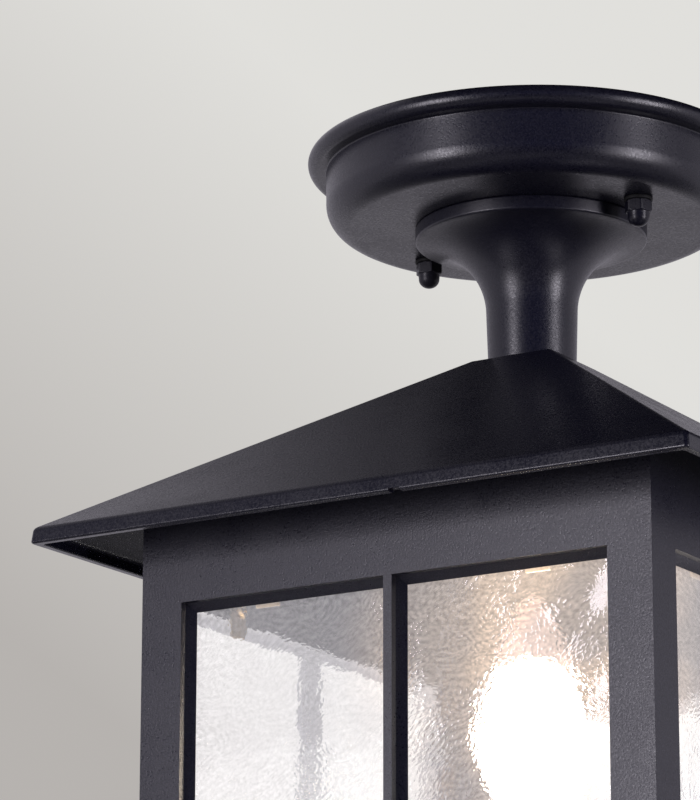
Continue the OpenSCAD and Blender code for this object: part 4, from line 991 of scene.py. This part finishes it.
class LANTERN_OT_lamp(bpy.types.Operator):
    """Makes the lampholder, its sleeve, and the lit candle bulb with its cap and sticks"""

    bl_idname = "lantern.lamp"
    bl_label = "Make the lamp"

    def execute(self, context):
        self.holder()
        self.sleeve()
        self.cap()
        self.envelope()
        self.sticks()
        return {"FINISHED"}

    def holder(self):
        """The porcelain body: wide with a groove, a slimmer neck, and a stepped bore."""
        z0, z1 = span("lampholder")
        wide, waist, neck, bore, well = 14 * MM, 13.3 * MM, 12 * MM, 7.95 * MM, 4 * MM
        z_seat, z_well = Z_BULB - 3 * MM, z0 + 8.5 * MM
        outline = [[TUBE_HOLE, z0], [wide, z0], [wide, z0 + 5 * MM], [waist, z0 + 5.7 * MM],
                   [waist, z0 + 7.3 * MM], [wide, z0 + 8 * MM], [wide, z0 + 16 * MM],
                   [neck, z0 + 20 * MM], [neck, z1], [bore, z1], [bore, z_seat], [well, z_seat],
                   [well, z_well], [TUBE_HOLE, z_well]]
        rounds = np.array([0.3, 0.8, 0.4, 0.4, 0.4, 0.4, 1.2, 1.2, 1.0, 0.6, 0.3, 0.3, 0.2, 0.2]) * MM
        new_piece("holder_body", [(turned(filleted(outline, rounds)), True)], "porcelain",
                  "lampholder", sharp=50)

    def sleeve(self):
        """The holder's thin rolled thread: both its walls follow the thread's wave."""
        a = angles(72)
        z = np.linspace(*span("lampholder_sleeve"), 90)
        crest, depth, half_wall = 7.45 * MM, 0.28 * MM, 0.18 * MM
        middle = crest - depth * thread_wave(z, a, CAP_PITCH)
        outside, inside = (around(middle + side * half_wall, z[:, None], a) for side in (1, -1))
        grid = np.concatenate([outside, inside[::-1]])
        new_piece("holder_sleeve", [(grid, True)], "brass", "lampholder_sleeve", sharp=60)

    def cap(self):
        """The bulb's cap: contact button, glass ring, cone, rolled thread and a plain collar."""
        r, top, depth, lid = high("bulb_cap").x, Z_HOLDER_TOP, 0.75 * MM, 0.02 * MM
        a = angles(72)
        z = np.linspace(Z_BULB + 3.2 * MM, top - 4 * MM, 90)
        fade = thread_fade(z, CAP_PITCH)
        radius = r - depth * (thread_wave(z, a, CAP_PITCH) * fade + 0.6 * (1 - fade))
        foot = np.array([[0.0001, 0], [1.6, 0], [2.3, 0.25], [2.4, 0.8], [3.0, 1.0], [3.5, 1.05],
                         [6.0, 2.9]]) * MM + [0, Z_BULB]
        collar = np.array([[-0.5, -3.6], [-0.35, -2.6], [-0.3, -0.5], [-0.6, -0.1],
                           [-1.2, -0.02]]) * MM + [r, top]
        collar = np.concatenate([collar, [[2.6 * MM, top - lid], [POLE, top - lid]]])
        rows_r = np.concatenate([foot[:, :1] + 0 * a, radius, collar[:, :1] + 0 * a])
        rows_z = np.concatenate([foot[:, 1], z, collar[:, 1]])[:, None]
        new_piece("bulb_thread_cap", [(around(rows_r, rows_z, a), False)], "cap", "bulb_cap", "bulb", 60)

    def envelope(self):
        """The candle bulb's glass: two cubic curves, from the neck to the widest place and from
        there to the tip, with an inner wall that follows them. Their control points lie at
        shares of the height."""
        r_max, neck = high("bulb_envelope").x, high("bulb_cap").x - 0.8 * MM
        wall, shoulder = 0.8 * MM, 6.8 * MM
        t = np.linspace(0, 1, 40)
        walls = []
        for inset in (0, wall):
            z0, z1 = Z_HOLDER_TOP + 0.03 * MM, Z_TIP - inset
            tall, wide, slim = z1 - z0, r_max - inset, neck - inset
            z_wide = z0 + 0.38 * tall
            lower = np.stack([bezier([slim, slim + 1 * MM, wide, wide], t),
                              bezier([z0 + inset, z0 + 0.13 * tall, z0 + 0.22 * tall, z_wide], t)], 1)
            upper = np.stack([bezier([wide, wide, shoulder, POLE], t),
                              bezier([z_wide, z0 + 0.52 * tall, z1 - 2 * MM, z1], t)], 1)
            walls.append(np.concatenate([[[POLE, z0 + inset]], lower, upper[1:]]))
        new_piece("bulb_glass", [(turned(w, 112), False) for w in walls], "bulb", "bulb_envelope",
                  "bulb", 60)

    def sticks(self):
        """The glass post and four filament sticks between their two discs."""
        foot, top = Z_HOLDER_TOP + 0.8 * MM, Z_HOLDER_TOP + 18 * MM
        length, disc_t, post_r, stick_r, circle = 34 * MM, 1 * MM, 1.9 * MM, 0.9 * MM, 3.1 * MM
        post = [[POLE, foot], [2.4 * MM, foot], [post_r, foot + 6 * MM], [post_r, top - 1.5 * MM],
                [5.1 * MM, top - 0.9 * MM], [5.1 * MM, top], [POLE, top]]
        disc = ring_outline(POLE, 4.2 * MM, top + length, top + length + disc_t)
        stick = filleted(ring_outline(POLE, stick_r, 0, length + disc_t),
                         np.array([1e-5, 0.3, 0.3, 1e-5]) * MM)
        grids = [(turned(post, 40), False), (turned(disc, 40), False)]
        for i in range(4):
            a = i * math.pi / 2
            place = at(circle * math.cos(a), circle * math.sin(a), top - 0.5 * MM)
            grids.append((placed(turned(stick, 24), place), True))
        new_piece("bulb_sticks", grids, "stick", "bulb_filament", "bulb")


class LANTERN_OT_wiring(bpy.types.Operator):
    """Rounds the leads, the terminal block and the rubber parts, and paints what is left"""

    bl_idname = "lantern.wiring"
    bl_label = "Make the wiring"

    def execute(self, context):
        for finish, node in (("brown", "live_lead"), ("blue", "neutral_lead"), ("green", "earth_lead")):
            mesh = node_mesh(finish + "_wire", node)
            tidy_mesh(mesh, 2e-6)
            wire = seated(finish + "_wire", mesh, finish, node, "lantern", 70)
            round_off = wire.modifiers.new("round_wire", "SUBSURF")
            round_off.levels = round_off.render_levels = 1
        rounded_copy("terminal_strip", "terminal_block", "terminal", 0.4 * MM)
        rounded_copy("wire_clips", "wire_saddles", "rubber", 0.4 * MM)
        rounded_copy("gasket_ring", "ceiling_gasket", "rubber", 0.3 * MM)
        for node, finish in (("stem_seal", "rubber"), ("tube_bush", "rubber"), ("centre_contact", "brass")):
            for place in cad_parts[node].material_slots:
                place.material = FINISHES[finish]
        return {"FINISHED"}


def backdrop_world(size):
    """A plain backdrop with one gentle slope of tone across the photograph's view. Gloss sees a
    backdrop of its own behind the lantern and a dim one behind the camera, and high up only
    towards -X. The light of all round for the rest is even and low."""
    world = bpy.data.worlds.new("studio")
    world.use_nodes = True
    bpy.context.scene.world = world
    w = Wiring(world.node_tree)
    world.node_tree.nodes.clear()
    out = world.node_tree.nodes.new("ShaderNodeOutputWorld")
    way = w.add("ShaderNodeTexCoord", {})["Generated"]

    def along(direction):
        return w.vector("DOT_PRODUCT", {0: way, 1: direction})["Value"]

    # the photograph's right, its up, and the way that it looks
    right, upward, onward = Vector((0.846, 0.533, 0)), Vector((0.14, -0.22, 0.966)), (-0.533, 0.846, 0)
    tone = w.ramp(along(0.64 * right + 0.768 * upward), -0.1, 0.052, smooth=False)
    seen = w.background(w.mix(tone, (*size.left_back, 1), (*size.right_back, 1)), 1.0)
    behind = w.ramp(along(onward), -0.6, 0.15)
    up = along((0, 0, 1))
    upper = w.ramp(along((1, 0, 0)), -0.62, -0.485, size.high_gloss, 0.0)
    level = w.times(w.ramp(up, -0.95, -0.5, 0.1, 1.0), w.ramp(up, 0.28, 0.52, 1.0, upper))
    front = w.mix(w.ramp(up, -0.35, 0.1), (0, 0, 0, 1), (*size.front_gloss, 1))
    glossy = w.background(w.mix(behind, front, (*size.gloss_back, 1)), level)
    soft = w.background((0.93, 0.94, 1.0, 1), size.ambient)
    path = w.add("ShaderNodeLightPath", {})
    clear = w.math("MAXIMUM", path["Is Camera Ray"], path["Is Transmission Ray"])
    shiny = w.mix_shader(path["Is Glossy Ray"], soft, glossy)
    w.fill(out, {"Surface": w.mix_shader(clear, shiny, seen)})


def softbox(name, azimuth, power):
    """A tall area light beside the lantern: azimuth 0 stands in front and grows towards +X."""
    elevation, distance, width, height = -2, 3.2, 0.8, 1.95
    tint, middle = (0.955, 0.905, 1.0), Vector((0, 0, -0.14))
    light = bpy.data.lights.new(name, "AREA")
    light.shape, light.size, light.size_y = "RECTANGLE", width, height
    light.energy, light.color = power, tint
    lamp = bpy.data.objects.new(name, light)
    bpy.context.scene.collection.objects.link(lamp)
    a, e = math.radians(azimuth), math.radians(elevation)
    away = Vector((math.sin(a) * math.cos(e), -math.cos(a) * math.cos(e), math.sin(e)))
    lamp.location = middle + away * distance
    lamp.rotation_euler = away.to_track_quat("Z", "Y").to_euler()
    lamp.visible_camera = lamp.visible_transmission = False


class LANTERN_OT_stage(bpy.types.Operator):
    """Sets up the camera, the floor, the backdrop and the lights"""

    bl_idname = "lantern.stage"
    bl_label = "Make the stage"

    def execute(self, context):
        size = lantern().stage
        camera = bpy.data.cameras.new("camera")
        camera.sensor_fit, camera.sensor_width, camera.lens = "AUTO", 36, size.camera_lens
        camera.clip_start, camera.clip_end = 0.05, 50
        eye = bpy.data.objects.new("camera", camera)
        context.scene.collection.objects.link(eye)
        yaw, pitch, roll = 0.5628, 0.2629, 0.0015
        eye.location = size.camera_place
        eye.rotation_euler = (Matrix.Rotation(yaw, 4, "Z") @ Matrix.Rotation(math.pi / 2 + pitch, 4, "X")
                              @ Matrix.Rotation(roll, 4, "Z")).to_euler()
        context.scene.camera = eye
        context.scene.view_settings.view_transform = "Standard"
        backdrop_world(size)
        softbox("softbox_right", 90, 1.05 * size.box_power)
        softbox("softbox_left", -18.5, size.box_power)

        floor_z = -3.0
        mesh = mesh_of("floor", [(turned([[r, floor_z] for r in (1e-5, 0.5, 2.0, 4.5)], 64), False)])
        floor = bpy.data.objects.new("floor", mesh)
        context.scene.collection.objects.link(floor)
        material, w, shader = new_material("pale_floor")
        w.fill(shader, {"Base Color": (0.72, 0.71, 0.69, 1), "Roughness": 0.8})
        mesh.materials.append(material)
        return {"FINISHED"}


class LANTERN_PT_panel(bpy.types.Panel):
    """Lists the steps that build the lantern and its settings"""

    bl_label = "Lantern"
    bl_idname = "LANTERN_PT_panel"
    bl_space_type = "VIEW_3D"
    bl_region_type = "UI"
    bl_category = "Lantern"

    def draw(self, context):
        settings = context.scene.lantern
        for operator in STEPS:
            self.layout.operator(operator.bl_idname)
        for group in (settings.look, settings.casting, settings.glass, settings.stage):
            box = self.layout.box()
            for name in group.__annotations__:
                box.prop(group, name)


STEPS = (LANTERN_OT_finishes, LANTERN_OT_rose, LANTERN_OT_stem, LANTERN_OT_roof, LANTERN_OT_body,
         LANTERN_OT_panes, LANTERN_OT_fixings, LANTERN_OT_lamp, LANTERN_OT_wiring, LANTERN_OT_stage)
CLASSES = (LookSettings, CastingSizes, GlassSizes, StageSettings, LanternSettings, *STEPS,
           LANTERN_PT_panel)


def register():
    for item in CLASSES:
        bpy.utils.register_class(item)
    bpy.types.Scene.lantern = PointerProperty(type=LanternSettings)


def unregister():
    del bpy.types.Scene.lantern
    for item in reversed(CLASSES):
        bpy.utils.unregister_class(item)


def main():
    register()
    for step in STEPS:
        group, name = step.bl_idname.split(".")
        getattr(getattr(bpy.ops, group), name)()


if __name__ == "__main__":
    main()
